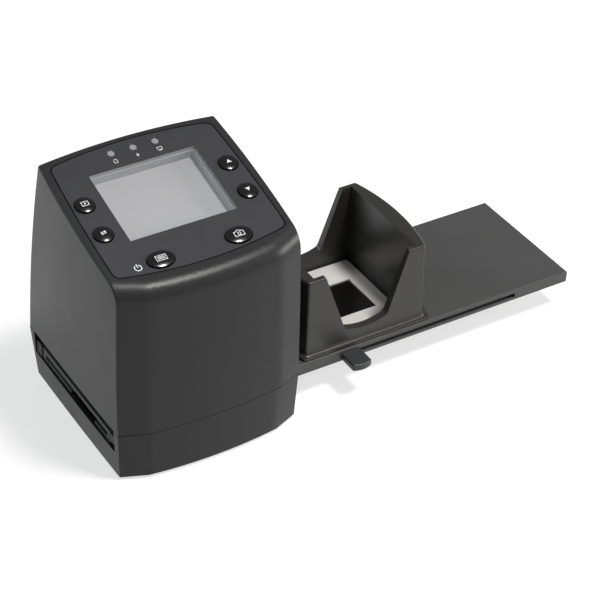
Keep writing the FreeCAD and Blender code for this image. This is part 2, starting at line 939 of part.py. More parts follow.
def build_base_cover():
    """The lower shell with its floor, posts, lip and the channel through both sides."""
    top = SEAM - size("seam_gap") / 2
    outside = new_body("BaseOutside")
    edge_top = BASE_UNDER + size("base_chamfer")
    sections = [
        (BASE_UNDER, base_section(BASE_UNDER, size("base_chamfer"))),
        (edge_top, base_section(edge_top, MIDDLE)),
        (top, base_section(top, MIDDLE)),
    ]
    loft(outside, "BaseLoft", "AdditiveLoft", sections, ruled=True)

    core = new_body("BaseCore")
    high = top + OVERRUN
    sections = [(BASE_INSIDE, base_section(BASE_INSIDE, WALL)), (high, base_section(high, WALL))]
    loft(core, "BaseCoreLoft", "AdditiveLoft", sections, ruled=True)

    lip = new_body("BaseLip")
    inner = base_section(SEAM, WALL + size("lip_gap") + size("lip_wall"))
    root = SEAM - size("lip_root")
    lip_top = SEAM + size("lip_height")
    pad(lip, "LipRoot", "z", root, top, base_section(SEAM, WALL - size("lip_gap")), inner)
    pad(lip, "LipRise", "z", root, lip_top, base_section(SEAM, WALL + size("lip_gap")), inner)

    reach = size("body_width")
    channel = block("BaseChannel", -reach, reach, SLOT_FRONT, SLOT_BACK, CHANNEL_FLOOR,
                    lip_top + OVERRUN)
    posts = []
    holes = []
    post_low = BASE_UNDER + size("base_floor") / 2
    sink = BASE_INSIDE + size("screw_cover")
    sink_radius = size("screw_head") + size("screw_gap")
    for index, (across, along) in enumerate(CASE_SCREWS):
        posts.append(rod(f"BasePost{index}", across, along, post_low, GUIDE_LOW, size("case_post")))
        holes.append(rod(f"BaseHole{index}", across, along, MIDDLE, GUIDE_LOW + OVERRUN, SHANK_HOLE))
        holes.append(rod(f"BaseSink{index}", across, along, MIDDLE, sink, sink_radius))
    seat_top = BASE_UNDER + size("foot_sunk")
    for index, (across, along) in enumerate(FEET):
        seat_radius = size("foot_radius") + size("screw_gap")
        holes.append(rod(f"FootSeat{index}", across, along, MIDDLE, seat_top, seat_radius))
    shell = cut("BaseShell", outside, core)
    ribbed = fuse("BaseRibbed", shell, lip, *posts)
    return cut("base_cover", ribbed, channel, *holes)


# Fascia and screen


def build_fascia():
    """The inset plate with its window, button holes and lamp holes."""
    plate = new_body("FasciaPlate")
    pad(plate, "FasciaPad", "z", -size("fascia_thickness"), MIDDLE, fascia_outline(MIDDLE))
    dress(plate, "FasciaCorners", "Fillet", size("fascia_corner"), upright)
    half_width = size("window_width") / 2
    half_height = size("window_height") / 2
    low = -size("fascia_thickness") - OVERRUN
    window = block("WindowOpening", -half_width, half_width, -half_height, half_height, low, OVERRUN)
    return on_panel(cut("fascia_panel", plate, window, *panel_holes("Fascia", low, OVERRUN)))


def build_screen():
    """The clear window, the frame round its well and the screen module below."""
    gap = size("window_gap")
    half_width = size("window_width") / 2
    half_height = size("window_height") / 2
    window_top = -size("window_sunk")
    window_low = window_top - size("window_thickness")
    pane = centred_rectangle(MIDDLE, MIDDLE, (half_width - gap) * 2, (half_height - gap) * 2)
    window = plain_pad("screen_window", pane, window_low, window_top)

    outer = block("ScreenFrameOuter", -FRAME_WIDTH / 2, FRAME_WIDTH / 2, -FRAME_HEIGHT / 2,
                  FRAME_HEIGHT / 2, SCREEN_TOP, -size("fascia_thickness"))
    collar = block("ScreenFrameCollar", gap - half_width, half_width - gap, gap - half_height,
                   half_height - gap, SCREEN_TOP, window_low)
    ledge = size("window_ledge") + gap
    well = block("ScreenWell", ledge - half_width, half_width - ledge, ledge - half_height,
                 half_height - ledge, SCREEN_TOP - OVERRUN, OVERRUN)
    frame = cut("screen_frame", fuse("ScreenFrameBlock", outer, collar), well)

    screen_low = SCREEN_TOP - size("screen_thickness")
    glass = centred_rectangle(MIDDLE, MIDDLE, size("screen_width"), size("screen_height"))
    module = plain_pad("screen_module", glass, screen_low, SCREEN_TOP)
    foam = centred_rectangle(MIDDLE, MIDDLE, size("pad_width"), size("pad_height"))
    cushion = plain_pad("screen_pad", foam, BOARD_TOP, screen_low)
    return [on_panel(item) for item in (window, frame, module, cushion)]


def build_button(name, across, up, half, half_up):
    """A domed button with a flange under the cover and a stem over its switch."""
    flange_top = -UNDER_TOP - size("button_play")
    flange_low = flange_top - size("button_flange")
    shoulder = size("button_shoulder")
    top = size("button_height")
    rim = size("button_flange_rim")
    shaft = oval_rod(name + "Shaft", across, up, flange_low, shoulder, half, half_up)
    tall = oval_rod(name + "Tall", across, up, flange_low, top + OVERRUN, half, half_up)
    fall_share = 1 - math.sqrt(1 - 1 / (DOME_SHARE * DOME_SHARE))
    dome_height = (top - shoulder) / fall_share
    dome = document.addObject("Part::Ellipsoid", name + "Dome")
    dome.setExpression("Radius1", formula(dome_height))
    dome.setExpression("Radius2", formula(half * DOME_SHARE))
    dome.setExpression("Radius3", formula(half_up * DOME_SHARE))
    place(dome, across, up, top - dome_height)
    cap = common(name + "Cap", tall, dome)
    flange = oval_rod(name + "Flange", across, up, flange_low, flange_top, half + rim, half_up + rim)
    switch_top = BOARD_TOP + size("switch_height") + size("switch_stem_height")
    stem_low = switch_top + size("button_travel") + size("stem_gap")
    stem = rod(name + "Stem", across, up, stem_low, flange_low, size("button_stem") / 2)
    return on_panel(fuse(name, shaft, cap, flange, stem))


def build_lamp_pipes():
    """The three light pipes, each with a flange under the cover."""
    pipes = []
    low = BOARD_TOP + size("lamp_chip_height") + size("stem_gap")
    flange_top = -UNDER_TOP
    flange_low = flange_top - size("lamp_flange_thickness")
    for index, (across, up) in enumerate(LAMP_PLACES):
        pipe = rod(f"LampPipe{index}", across, up, low, size("lamp_proud"), size("lamp_size") / 2)
        flange = rod(f"LampFlange{index}", across, up, flange_low, flange_top, size("lamp_flange") / 2)
        pipes.append(fuse(f"LampWhole{index}", pipe, flange))
    return on_panel(group("lamp_pipes", *pipes))


# Main board


def small_screw(name, across, up, seat, head_below, length):
    """A small screw with its head below or above the seat and its shank beyond it."""
    head = size("small_screw_head_height")
    cap_low = seat - head if head_below else seat
    shank_low = seat if head_below else seat - length
    cap = rod(name + "Head", across, up, cap_low, cap_low + head, size("small_screw_head"))
    shank = rod(name + "Shank", across, up, shank_low, shank_low + length, size("small_screw_shank"))
    return fuse(name, cap, shank)


def build_main_board():
    """The board behind the fascia, with its switches, lamps, processor and screws."""
    half = size("board_width") / 2
    plate = block("BoardPlate", -half, half, -size("board_front"), size("board_back"),
                  BOARD_UNDER, BOARD_TOP)
    holes = []
    screws = []
    length = size("board_thickness") + size("small_screw_bite")
    for index, (across, up) in enumerate(BOARD_SCREWS):
        low = BOARD_UNDER - OVERRUN
        holes.append(rod(f"BoardHole{index}", across, up, low, BOARD_TOP + OVERRUN, SMALL_HOLE))
        screws.append(small_screw(f"BoardScrew{index}", across, up, BOARD_UNDER, True, length))
    board = cut("main_board", plate, *holes)

    switches = []
    side = size("switch_width") / 2
    switch_top = BOARD_TOP + size("switch_height")
    stem_top = switch_top + size("switch_stem_height")
    for name, (across, up, _, _) in BUTTONS.items():
        case = block(name + "SwitchCase", across - side, across + side, up - side, up + side,
                     BOARD_TOP, switch_top)
        stem = rod(name + "SwitchStem", across, up, BOARD_TOP, stem_top, size("switch_stem"))
        switches.append(fuse(name + "Switch", case, stem))
    chips = []
    length = size("lamp_chip_length") / 2
    width = size("lamp_chip_width") / 2
    for index, (across, up) in enumerate(LAMP_PLACES):
        chips.append(
            block(f"LampChip{index}", across - length, across + length, up - width, up + width,
                  BOARD_TOP, BOARD_TOP + size("lamp_chip_height"))
        )
    side = size("processor_width")
    chip = centred_rectangle(MIDDLE, -side, side, side)
    processor = plain_pad("processor_chip", chip, BOARD_UNDER - size("processor_height"), BOARD_UNDER)
    nodes = [board, group("button_switches", *switches), group("indicator_lamps", *chips), processor,
             group("board_screws", *screws)]
    return [on_panel(node) for node in nodes]


def build_sockets():
    """The three sockets under the back edge of the main board."""
    nodes = []
    shell = size("socket_wall")
    for name, (across, width, height, length) in SOCKETS.items():
        low = BOARD_UNDER - height
        front = SOCKET_BACK - length
        half = width / 2
        case = block(name + "Case", across - half, across + half, front, SOCKET_BACK, low, BOARD_UNDER)
        if name == "video_socket":
            mouth = document.addObject("Part::Cylinder", name + "Mouth")
            mouth.Placement = Placement(Vector(), Rotation(Vector(1, 0, 0), RIGHT_ANGLE))
            mouth.setExpression("Radius", formula(size("video_bore") / 2))
            mouth.setExpression("Height", formula(length))
            place(mouth, across, SOCKET_BACK + OVERRUN, BOARD_UNDER - height / 2)
        else:
            mouth = block(name + "Mouth", across - half + shell, across + half - shell,
                          front + shell, SOCKET_BACK + OVERRUN, low + shell, BOARD_UNDER - shell)
        nodes.append(on_panel(cut(name, case, mouth)))
    return nodes


# Gate, light box and optics

LIGHT_LENGTH = size("gate_length") + size("light_rim")
LIGHT_WIDTH = size("gate_width") + size("light_rim")
LIGHT_BOARD_TOP = BASE_INSIDE + size("light_board_thickness")
TOWER_HALF_LENGTH = size("gate_length") / 2 + size("tower_rim")
TOWER_HALF_WIDTH = size("gate_width") / 2 + size("tower_rim")
TOWER_SCREW_ACROSS = TOWER_HALF_LENGTH + size("tower_flange") / 2
TOWER_SCREWS = [
    (TOWER_SCREW_ACROSS * side, CHANNEL_MIDDLE + size("gate_width") / 2 * along)
    for side in (-1, 1)
    for along in (-1, 1)
]
SENSOR_SCREW_OUT = size("tower_neck") / 2 - size("small_screw_head")
SENSOR_SCREWS = [
    (SENSOR_SCREW_OUT * side, CHANNEL_MIDDLE + SENSOR_SCREW_OUT * along)
    for side in (-1, 1)
    for along in (-1, 1)
]


def circles(places, radius):
    """Circles of one radius at each of some places."""
    return [Circle(across, along, radius) for across, along in places]


def about_gate(half_length, half_width):
    """The outline of a rectangle about the middle of the gate."""
    return centred_rectangle(MIDDLE, CHANNEL_MIDDLE, half_length * 2, half_width * 2)


def build_film_guide():
    """The channel piece: a floor with the light opening and a rail along each side."""
    guide = new_body("FilmGuideBody")
    front_rail = TRAY_FRONT - size("guide_gap")
    back_rail = TRAY_BACK + size("guide_gap")
    profile = (
        Outline(GUIDE_FRONT, GUIDE_LOW)
        .line(GUIDE_BACK, GUIDE_LOW)
        .line(GUIDE_BACK, GATE_LOW)
        .line(back_rail, GATE_LOW)
        .line(back_rail, CHANNEL_FLOOR)
        .line(front_rail, CHANNEL_FLOOR)
        .line(front_rail, GATE_LOW)
        .line(GUIDE_FRONT, GATE_LOW)
        .close()
    )
    pad(guide, "GuideProfile", "x", -GUIDE_SIDE, GUIDE_SIDE, profile)
    light = about_gate(LIGHT_LENGTH / 2, LIGHT_WIDTH / 2)
    pocket(guide, "GuideOpenings", "z", GUIDE_LOW - OVERRUN, GATE_LOW + OVERRUN, light,
           *circles(CASE_SCREWS, SHANK_HOLE))
    guide.Label = "film_guide"
    return guide


def build_upper_gate():
    """The plate over the film, with its opening, lead-in chamfers and screw holes."""
    plate = new_body("UpperGateBody")
    outline = rectangle(-GUIDE_SIDE, GUIDE_SIDE, GUIDE_FRONT, GUIDE_BACK)
    view = about_gate(size("gate_length") / 2, size("gate_width") / 2)
    holes = circles(CASE_SCREWS, SHANK_HOLE) + circles(TOWER_SCREWS, SMALL_HOLE)
    pad(plate, "GatePlate", "z", GATE_LOW, GATE_HIGH, outline, view, *holes)

    def lead_in(edge):
        middle = edge.CenterOfMass
        return abs(abs(middle.x) - GUIDE_SIDE.value) < NEAR and level_at(edge, GATE_LOW)

    dress(plate, "GateLead", "Chamfer", size("gate_lead"), lead_in)
    plate.Label = "upper_gate"
    return plate


def build_light_box():
    """The opal diffuser, the white box below it and the board with its lamps."""
    gap = size("guide_gap")
    diffuser_top = CHANNEL_FLOOR - size("diffuser_drop")
    half = LIGHT_LENGTH / 2 - gap
    half_along = LIGHT_WIDTH / 2 - gap
    diffuser = block("diffuser", -half, half, CHANNEL_MIDDLE - half_along, CHANNEL_MIDDLE + half_along,
                     GUIDE_LOW, diffuser_top)

    outer = LIGHT_LENGTH / 2 + size("light_rim")
    outer_along = LIGHT_WIDTH / 2 + size("light_rim")
    box = block("LightBoxOuter", -outer, outer, CHANNEL_MIDDLE - outer_along,
                CHANNEL_MIDDLE + outer_along, LIGHT_BOARD_TOP, GUIDE_LOW)
    inner = outer - size("light_wall")
    inner_along = outer_along - size("light_wall")
    hollow = block("LightBoxInner", -inner, inner, CHANNEL_MIDDLE - inner_along,
                   CHANNEL_MIDDLE + inner_along, LIGHT_BOARD_TOP - OVERRUN, GUIDE_LOW + OVERRUN)
    light_box = cut("light_box", box, hollow)

    board_half = outer + size("light_board_rim")
    board_along = outer_along + size("light_board_rim")
    board = block("light_board", -board_half, board_half, CHANNEL_MIDDLE - board_along,
                  CHANNEL_MIDDLE + board_along, BASE_INSIDE, LIGHT_BOARD_TOP)
    chips = []
    side = size("light_chip") / 2
    chip_top = LIGHT_BOARD_TOP + size("light_chip_height")
    for index, (across_share, along_share) in enumerate(LIGHT_CHIP_SHARES):
        across = inner * across_share
        along = CHANNEL_MIDDLE + inner_along * along_share
        chips.append(
            block(f"LightChip{index}", across - side, across + side, along - side, along + side,
                  LIGHT_BOARD_TOP, chip_top)
        )
    return [diffuser, light_box, board, group("light_lamps", *chips)]


def build_tower():
    """The tapered light tower that stands on the gate and holds the lens."""
    tower = new_body("OpticsTowerBody")
    flange_top = GATE_HIGH + size("tower_flange_thickness")
    neck_low = size("tower_neck_height")
    neck_half = size("tower_neck") / 2
    flange = size("tower_flange")
    wall = size("tower_wall")
    top = size("tower_top")

    pad(tower, "TowerFlange", "z", GATE_HIGH, flange_top,
        about_gate(TOWER_HALF_LENGTH + flange, TOWER_HALF_WIDTH + flange))
    outside = [
        (flange_top, about_gate(TOWER_HALF_LENGTH, TOWER_HALF_WIDTH)),
        (neck_low, about_gate(neck_half, neck_half)),
    ]
    loft(tower, "TowerTaper", "AdditiveLoft", outside, ruled=True)
    pad(tower, "TowerNeck", "z", neck_low, top, about_gate(neck_half, neck_half))
    hollow = [
        (GATE_HIGH, about_gate(TOWER_HALF_LENGTH - wall, TOWER_HALF_WIDTH - wall)),
        (neck_low - wall, about_gate(neck_half - wall, neck_half - wall)),
    ]
    loft(tower, "TowerHollow", "SubtractiveLoft", hollow, ruled=True)
    bore = size("lens_radius") + size("lens_gap")
    pocket(tower, "TowerBore", "z", neck_low - wall - OVERRUN, top + OVERRUN,
           Circle(MIDDLE, CHANNEL_MIDDLE, bore))
    pocket(tower, "TowerFlangeHoles", "z", GATE_HIGH - OVERRUN, flange_top + OVERRUN,
           *circles(TOWER_SCREWS, SMALL_HOLE))
    hole_low = top - size("small_screw_bite") - size("small_screw_gap")
    pocket(tower, "TowerTopHoles", "z", hole_low, top + OVERRUN, *circles(SENSOR_SCREWS, SMALL_HOLE))
    tower.Label = "optics_tower"
    return tower


def build_lens():
    """The lens barrel, its glass, the sensor and the sensor board above it."""
    low = size("lens_low")
    high = size("lens_high")
    barrel_block = rod("LensBarrelBlock", MIDDLE, CHANNEL_MIDDLE, low, high, size("lens_radius"))
    glass_low = low + size("lens_glass_sunk")
    bore = size("lens_bore")
    mouth = rod("LensMouth", MIDDLE, CHANNEL_MIDDLE, low - OVERRUN, high + OVERRUN, bore - size("lens_lip"))
    seat = rod("LensSeat", MIDDLE, CHANNEL_MIDDLE, glass_low, high + OVERRUN, bore)
    barrel = cut("lens_barrel", barrel_block, mouth, seat)
    glass_high = glass_low + size("lens_glass_thickness")
    glass = rod("lens_glass", MIDDLE, CHANNEL_MIDDLE, glass_low, glass_high, bore - size("lens_gap"))

    half = size("sensor_board_width") / 2
    board_low = size("tower_top")
    board_top = board_low + size("sensor_board_thickness")
    plate = block("SensorBoardPlate", -half, half, CHANNEL_MIDDLE - half, CHANNEL_MIDDLE + half,
                  board_low, board_top)
    holes = []
    screws = []
    length = size("sensor_board_thickness") + size("small_screw_bite")
    for index, (across, along) in enumerate(SENSOR_SCREWS):
        low = board_low - OVERRUN
        holes.append(rod(f"SensorHole{index}", across, along, low, board_top + OVERRUN, SMALL_HOLE))
        screws.append(small_screw(f"SensorScrew{index}", across, along, board_top, False, length))
    board = cut("sensor_board", plate, *holes)
    side = size("sensor_width") / 2
    sensor = block("image_sensor", -side, side, CHANNEL_MIDDLE - side, CHANNEL_MIDDLE + side,
                   board_low - size("sensor_height"), board_low)
    flange_top = GATE_HIGH + size("tower_flange_thickness")
    length = size("tower_flange_thickness") + size("gate_thickness") - size("tray_clearance")
    for index, (across, along) in enumerate(TOWER_SCREWS):
        screws.append(small_screw(f"TowerScrew{index}", across, along, flange_top, False, length))
    return [barrel, glass, board, sensor, group("optics_screws", *screws)]


def build_case_screws():
    """The four long screws that hold base, guide, gate and cover together."""
    screws = []
    seat = BASE_INSIDE + size("screw_cover")
    head_low = seat - size("screw_head_height")
    tip = BOSS_TOP - size("case_rib") * 2
    for index, (across, along) in enumerate(CASE_SCREWS):
        head = rod(f"CaseScrewHead{index}", across, along, head_low, seat, size("screw_head"))
        shank = rod(f"CaseScrewShank{index}", across, along, seat, tip, size("screw_shank"))
        screws.append(fuse(f"CaseScrew{index}", head, shank))
    return group("case_screws", *screws)


def build_feet():
    """The four rubber feet in their seats."""
    feet = []
    for index, (across, along) in enumerate(FEET):
        foot = new_body(f"Foot{index}")
        pad(foot, f"FootPad{index}", "z", MIDDLE, BASE_UNDER + size("foot_sunk"),
            Circle(across, along, size("foot_radius")))
        dress(foot, f"FootRound{index}", "Fillet", size("foot_round"), lambda edge: level_at(edge, ZERO))
        feet.append(foot)
    return group("rubber_feet", *feet)


# Feeder

TRAY_LEFT = -size("tray_left")
TRAY_RIGHT = size("tray_right")
TRAY_INSIDE = TRAY_LOW + size("tray_floor")
TRAY_SPLIT = TRAY_HIGH - size("tray_cover")
SLIDE_HALF = size("slide_side") / 2
TRACK_HALF = SLIDE_HALF + size("slide_play")
MAGAZINE_MIDDLE = size("magazine_centre")
MAGAZINE_HALF = SLIDE_HALF + size("magazine_play")
COVER_JOINT = MAGAZINE_MIDDLE - MAGAZINE_HALF - size("magazine_end_wall") / 2
TONGUE_HALF = size("tongue_width") / 2
TRAY_SCREWS = [
    (TRAY_LEFT + (TRAY_RIGHT - TRAY_LEFT) * share, along)
    for share in TRAY_SCREW_SHARES
    for along in (TRAY_FRONT + size("tray_screw_edge"), TRAY_BACK - size("tray_screw_edge"))
]


def build_feeder_tray():
    """The lower shell of the feeder, with the slide track and the slot for the knob."""
    tray = new_body("FeederTrayBody")
    outline = rectangle(TRAY_LEFT, TRAY_RIGHT, TRAY_FRONT, TRAY_BACK)
    pad(tray, "TrayBlock", "z", TRAY_LOW, TRAY_SPLIT, outline)

    def low_edge(edge):
        return level_at(edge, TRAY_LOW) and edge.CenterOfMass.x > TRAY_LEFT.value + NEAR

    dress(tray, "TrayEdges", "Fillet", size("tray_edge"), low_edge)
    track_front = CHANNEL_MIDDLE - TRACK_HALF
    track_back = CHANNEL_MIDDLE + TRACK_HALF
    track_right = TRAY_RIGHT - size("tray_end_wall")
    track = rectangle(TRAY_LEFT - OVERRUN, track_right, track_front, track_back)
    pocket(tray, "TrayTrack", "z", TRAY_INSIDE, TRAY_SPLIT, track)
    slot_left = size("knob_centre") - TONGUE_HALF - size("slot_end_gap")
    slot_right = size("knob_centre") + TONGUE_HALF + size("pusher_travel") + size("slot_end_gap")
    slot = rectangle(slot_left, slot_right, TRAY_FRONT - OVERRUN, track_front + OVERRUN)
    pocket(tray, "TraySlot", "z", TRAY_INSIDE, TRAY_SPLIT, slot)
    light = about_gate(size("gate_length") / 2, size("gate_width") / 2)
    pocket(tray, "TrayLight", "z", TRAY_LOW - OVERRUN, TRAY_SPLIT + OVERRUN, light,
           *circles(TRAY_SCREWS, SMALL_HOLE))
    head_radius = size("small_screw_head") + size("small_screw_gap")
    sink = TRAY_LOW + size("small_screw_head_height") + size("small_screw_gap")
    pocket(tray, "TrayScrewSeats", "z", TRAY_LOW - OVERRUN, sink, *circles(TRAY_SCREWS, head_radius))
    tray.Label = "feeder_tray"
    return tray


def cover_plate(name, left, right, *openings):
    """One of the two flat plates that cover the tray, with its openings and screw holes."""
    cover = new_body(name)
    outline = rectangle(left, right, TRAY_FRONT, TRAY_BACK)
    pad(cover, name + "Plate", "z", TRAY_SPLIT, TRAY_HIGH, outline, *openings)

    def top_edge(edge):
        middle = edge.CenterOfMass
        at_end = middle.x > TRAY_RIGHT.value - NEAR
        at_side = abs(middle.y - CHANNEL_MIDDLE.value) > (size("tray_width") / 2).value - NEAR
        return level_at(edge, TRAY_HIGH) and (at_end or at_side)

    dress(cover, name + "Edges", "Fillet", size("tray_edge"), top_edge)
    screws = [place for place in TRAY_SCREWS if number(left) < place[0].value < number(right)]
    pocket(cover, name + "ScrewHoles", "z", TRAY_SPLIT - OVERRUN, TRAY_HIGH - size("tray_edge"),
           *circles(screws, SMALL_HOLE))
    return cover


def build_feeder_cover():
    """The flat covers of the feeder: the slide frame at the gate, and the rest."""
    joint = size("cover_joint") / 2
    light = about_gate(size("gate_length") / 2, size("gate_width") / 2)
    well = centred_rectangle(MAGAZINE_MIDDLE, CHANNEL_MIDDLE, MAGAZINE_HALF * 2, MAGAZINE_HALF * 2)
    frame = cover_plate("SlideFrameBody", TRAY_LEFT, COVER_JOINT - joint, light)
    frame.Label = "slide_frame"
    cover = cover_plate("FeederCoverBody", COVER_JOINT + joint, TRAY_RIGHT, well)
    cover.Label = "feeder_cover"
    return [frame, cover]


def build_feeder_screws():
    """The screws that hold the feeder's cover to its tray, from below."""
    seat = TRAY_LOW + size("small_screw_head_height") + size("small_screw_gap")
    length = TRAY_HIGH - size("tray_edge") - size("small_screw_gap") - seat
    screws = [
        small_screw(f"TrayScrew{index}", across, along, seat, True, length)
        for index, (across, along) in enumerate(TRAY_SCREWS)
    ]
    return group("feeder_screws", *screws)


def magazine_outline(grow):
    """The outline of the magazine: straight front and back, bowed ends."""
    half = MAGAZINE_HALF + size("magazine_end_wall") + grow
    deep = MAGAZINE_HALF + size("magazine_front_wall") + grow
    left = MAGAZINE_MIDDLE - half
    right = MAGAZINE_MIDDLE + half
    front = CHANNEL_MIDDLE - deep
    back = CHANNEL_MIDDLE + deep
    return (
        Outline(left, front)
        .line(right, front)
        .arc(right, back, size("magazine_bow"))
        .line(left, back)
        .close(size("magazine_bow"))
    )


def build_magazine():
    """The hopper for mounted slides, with bowed ends and a thumb cut-out front and back."""
    hopper = new_body("MagazineBody")
    top = size("magazine_top")
    foot_top = TRAY_HIGH + size("magazine_foot")
    reach = size("magazine_foot_reach")
    taper = size("magazine_taper")
    spread = (top - TRAY_HIGH) * tangent(taper)
    walls = pad(hopper, "MagazineWalls", "z", TRAY_HIGH, top, magazine_outline(spread))
    walls.setExpression("TaperAngle", formula(-taper))
    document.recompute()
    dress(hopper, "MagazineRidges", "Fillet", size("magazine_corner"), upright)
    dress(hopper, "MagazineCrown", "Fillet", size("magazine_edge"), lambda edge: level_at(edge, top))
    pad(hopper, "MagazineFoot", "z", TRAY_HIGH, foot_top, magazine_outline(reach))

    foot_half = MAGAZINE_HALF + size("magazine_end_wall") + size("magazine_bow") + reach
    foot_deep = MAGAZINE_HALF + size("magazine_front_wall") + reach

    def cove(edge):
        middle = middle_of(edge)
        across = abs(middle.x - MAGAZINE_MIDDLE.value)
        along = abs(middle.y - CHANNEL_MIDDLE.value)
        inside = along < foot_deep.value - NEAR and across < foot_half.value - NEAR
        return level_at(edge, foot_top) and inside

    dress(hopper, "MagazineCove", "Fillet", size("magazine_cove"), cove)
    dress(hopper, "MagazineFootCorners", "Fillet", size("magazine_corner"),
          lambda edge: upright(edge) and edge.BoundBox.ZMax < foot_top.value + NEAR)
    well = centred_rectangle(MAGAZINE_MIDDLE, CHANNEL_MIDDLE, MAGAZINE_HALF * 2, MAGAZINE_HALF * 2)
    pocket(hopper, "MagazineWell", "z", TRAY_HIGH - OVERRUN, top + OVERRUN, well)
    half_top = size("cutout_top") / 2
    half_low = size("cutout_bottom") / 2
    floor = size("cutout_floor") + size("cutout_bow")
    spread = (half_top - half_low) * OVERRUN / (top - floor)
    thumb = (
        Outline(MAGAZINE_MIDDLE - half_low, floor)
        .arc(MAGAZINE_MIDDLE + half_low, floor, size("cutout_bow"))
        .line(MAGAZINE_MIDDLE + half_top + spread, top + OVERRUN)
        .line(MAGAZINE_MIDDLE - half_top - spread, top + OVERRUN)
        .close()
    )
    pocket(hopper, "MagazineThumb", "y", CHANNEL_MIDDLE - foot_deep - OVERRUN,
           CHANNEL_MIDDLE + foot_deep + OVERRUN, thumb)

    def thumb_corner(edge):
        middle = edge.CenterOfMass
        at_end = abs(abs(middle.x - MAGAZINE_MIDDLE.value) - half_low.value) < NEAR
        return level_at(edge, floor) and at_end

    dress(hopper, "MagazineThumbRound", "Fillet", size("cutout_round"), thumb_corner)
    hopper.Label = "magazine"
    return hopper


# Pusher and slide

PUSHER_LEFT = SLIDE_HALF + size("pusher_gap")
PUSHER_LOW = TRAY_INSIDE + size("pusher_lift")
PUSHER_HIGH = PUSHER_LOW + size("pusher_thickness")
KNOB_BACK = TRAY_FRONT - size("knob_gap")


def build_pusher():
    """The pusher plate with the tongue that reaches out through the tray's slot."""
    right = PUSHER_LEFT + size("pusher_length")
    front = CHANNEL_MIDDLE - SLIDE_HALF
    back = CHANNEL_MIDDLE + SLIDE_HALF
    tongue_left = size("knob_centre") - TONGUE_HALF
    tongue_right = size("knob_centre") + TONGUE_HALF
    outline = (
        Outline(PUSHER_LEFT, front)
        .line(tongue_left, front)
        .line(tongue_left, KNOB_BACK)
        .line(tongue_right, KNOB_BACK)
        .line(tongue_right, front)
        .line(right, front)
        .line(right, back)
        .line(PUSHER_LEFT, back)
        .close()
    )
    return plain_pad("pusher_plate", outline, PUSHER_LOW, PUSHER_HIGH)


def build_knob():
    """The rounded knob on the end of the pusher's tongue."""
    knob = new_body("KnobBody")
    low = PUSHER_LOW - size("knob_drop")
    left = size("knob_centre") - size("knob_width") / 2
    right = size("knob_centre") + size("knob_width") / 2
    front = KNOB_BACK - size("knob_reach") + size("knob_tip_bow")
    outline = (
        Outline(left, front)
        .arc(right, front, size("knob_tip_bow"))
        .line(right, KNOB_BACK)
        .line(left, KNOB_BACK)
        .close()
    )
    pad(knob, "KnobBlock", "z", low, low + size("knob_thickness"), outline)
    dress(knob, "KnobEdges", "Fillet", size("knob_edge"),
          lambda edge: edge.CenterOfMass.y < KNOB_BACK.value - NEAR)
    knob.Label = "pusher_knob"
    return knob


def build_slide():
    """A slide mount with its film, lying on the pusher in the magazine."""
    low = PUSHER_HIGH + size("slide_rest")
    high = low + size("slide_thickness")
    mount = new_body("SlideMountBody")
    side = size("slide_side")
    pad(mount, "MountBlock", "z", low, high,
        centred_rectangle(MAGAZINE_MIDDLE, CHANNEL_MIDDLE, side, side))
    dress(mount, "MountCorners", "Fillet", size("slide_corner"), upright)
    length = size("film_window_length")
    width = size("film_window_width")
    window = centred_rectangle(MAGAZINE_MIDDLE, CHANNEL_MIDDLE, length, width)
    pocket(mount, "MountWindow", "z", low - OVERRUN, high + OVERRUN, window)
    margin = size("film_margin") * 2
    film_outline = centred_rectangle(MAGAZINE_MIDDLE, CHANNEL_MIDDLE, length + margin, width + margin)
    film_low = low + size("slide_thickness") / 2 - size("film_thickness") / 2
    film_high = film_low + size("film_thickness")
    film = plain_pad("slide_film", film_outline, film_low, film_high)
    return [cut("slide_mount", mount, film), film]


def build_all():
    """Build every piece and return the objects that are written out."""
    nodes = [build_upper_cover(), build_base_cover(), build_fascia(), *build_screen()]
    nodes += [build_button(name, *measures) for name, measures in BUTTONS.items()]
    nodes += [build_lamp_pipes(), *build_main_board(), *build_sockets()]
    nodes += [build_film_guide(), build_upper_gate(), *build_light_box()]
    nodes += [build_tower(), *build_lens(), build_case_screws(), build_feet()]
    nodes += [build_feeder_tray(), *build_feeder_cover(), build_feeder_screws(), build_magazine()]
    nodes += [build_pusher(), build_knob(), *build_slide()]
    document.recompute()
    return nodes


def check(nodes):
    """Stop if any object failed or a piece has no valid solid."""
    for item in document.Objects:
        if "Invalid" in item.State or "Error" in item.State:
            raise RuntimeError(f"{item.Label} failed: {item.State}")
    for node in nodes:
        if node.Shape.isNull() or not node.Shape.isValid() or not node.Shape.Solids:
            raise RuntimeError(f"{node.Label} has no valid solid")


def write(nodes):
    """Write each piece to its own file."""
    os.makedirs("parts", exist_ok=True)
    for node in nodes:
        node.Shape.exportStep(f"parts/{node.Label}.step")
        print(node.Label, len(node.Shape.Solids), round(node.Shape.Volume))


pieces = build_all()
check(pieces)
write(pieces)
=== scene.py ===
"""Looks of a tabletop film and slide scanner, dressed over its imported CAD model."""

import json
import logging
import math
from collections.abc import Callable, Iterable
from dataclasses import dataclass, field
from enum import Enum

import bmesh
import bpy
from mathutils import Matrix, Vector
from mathutils.bvhtree import BVHTree

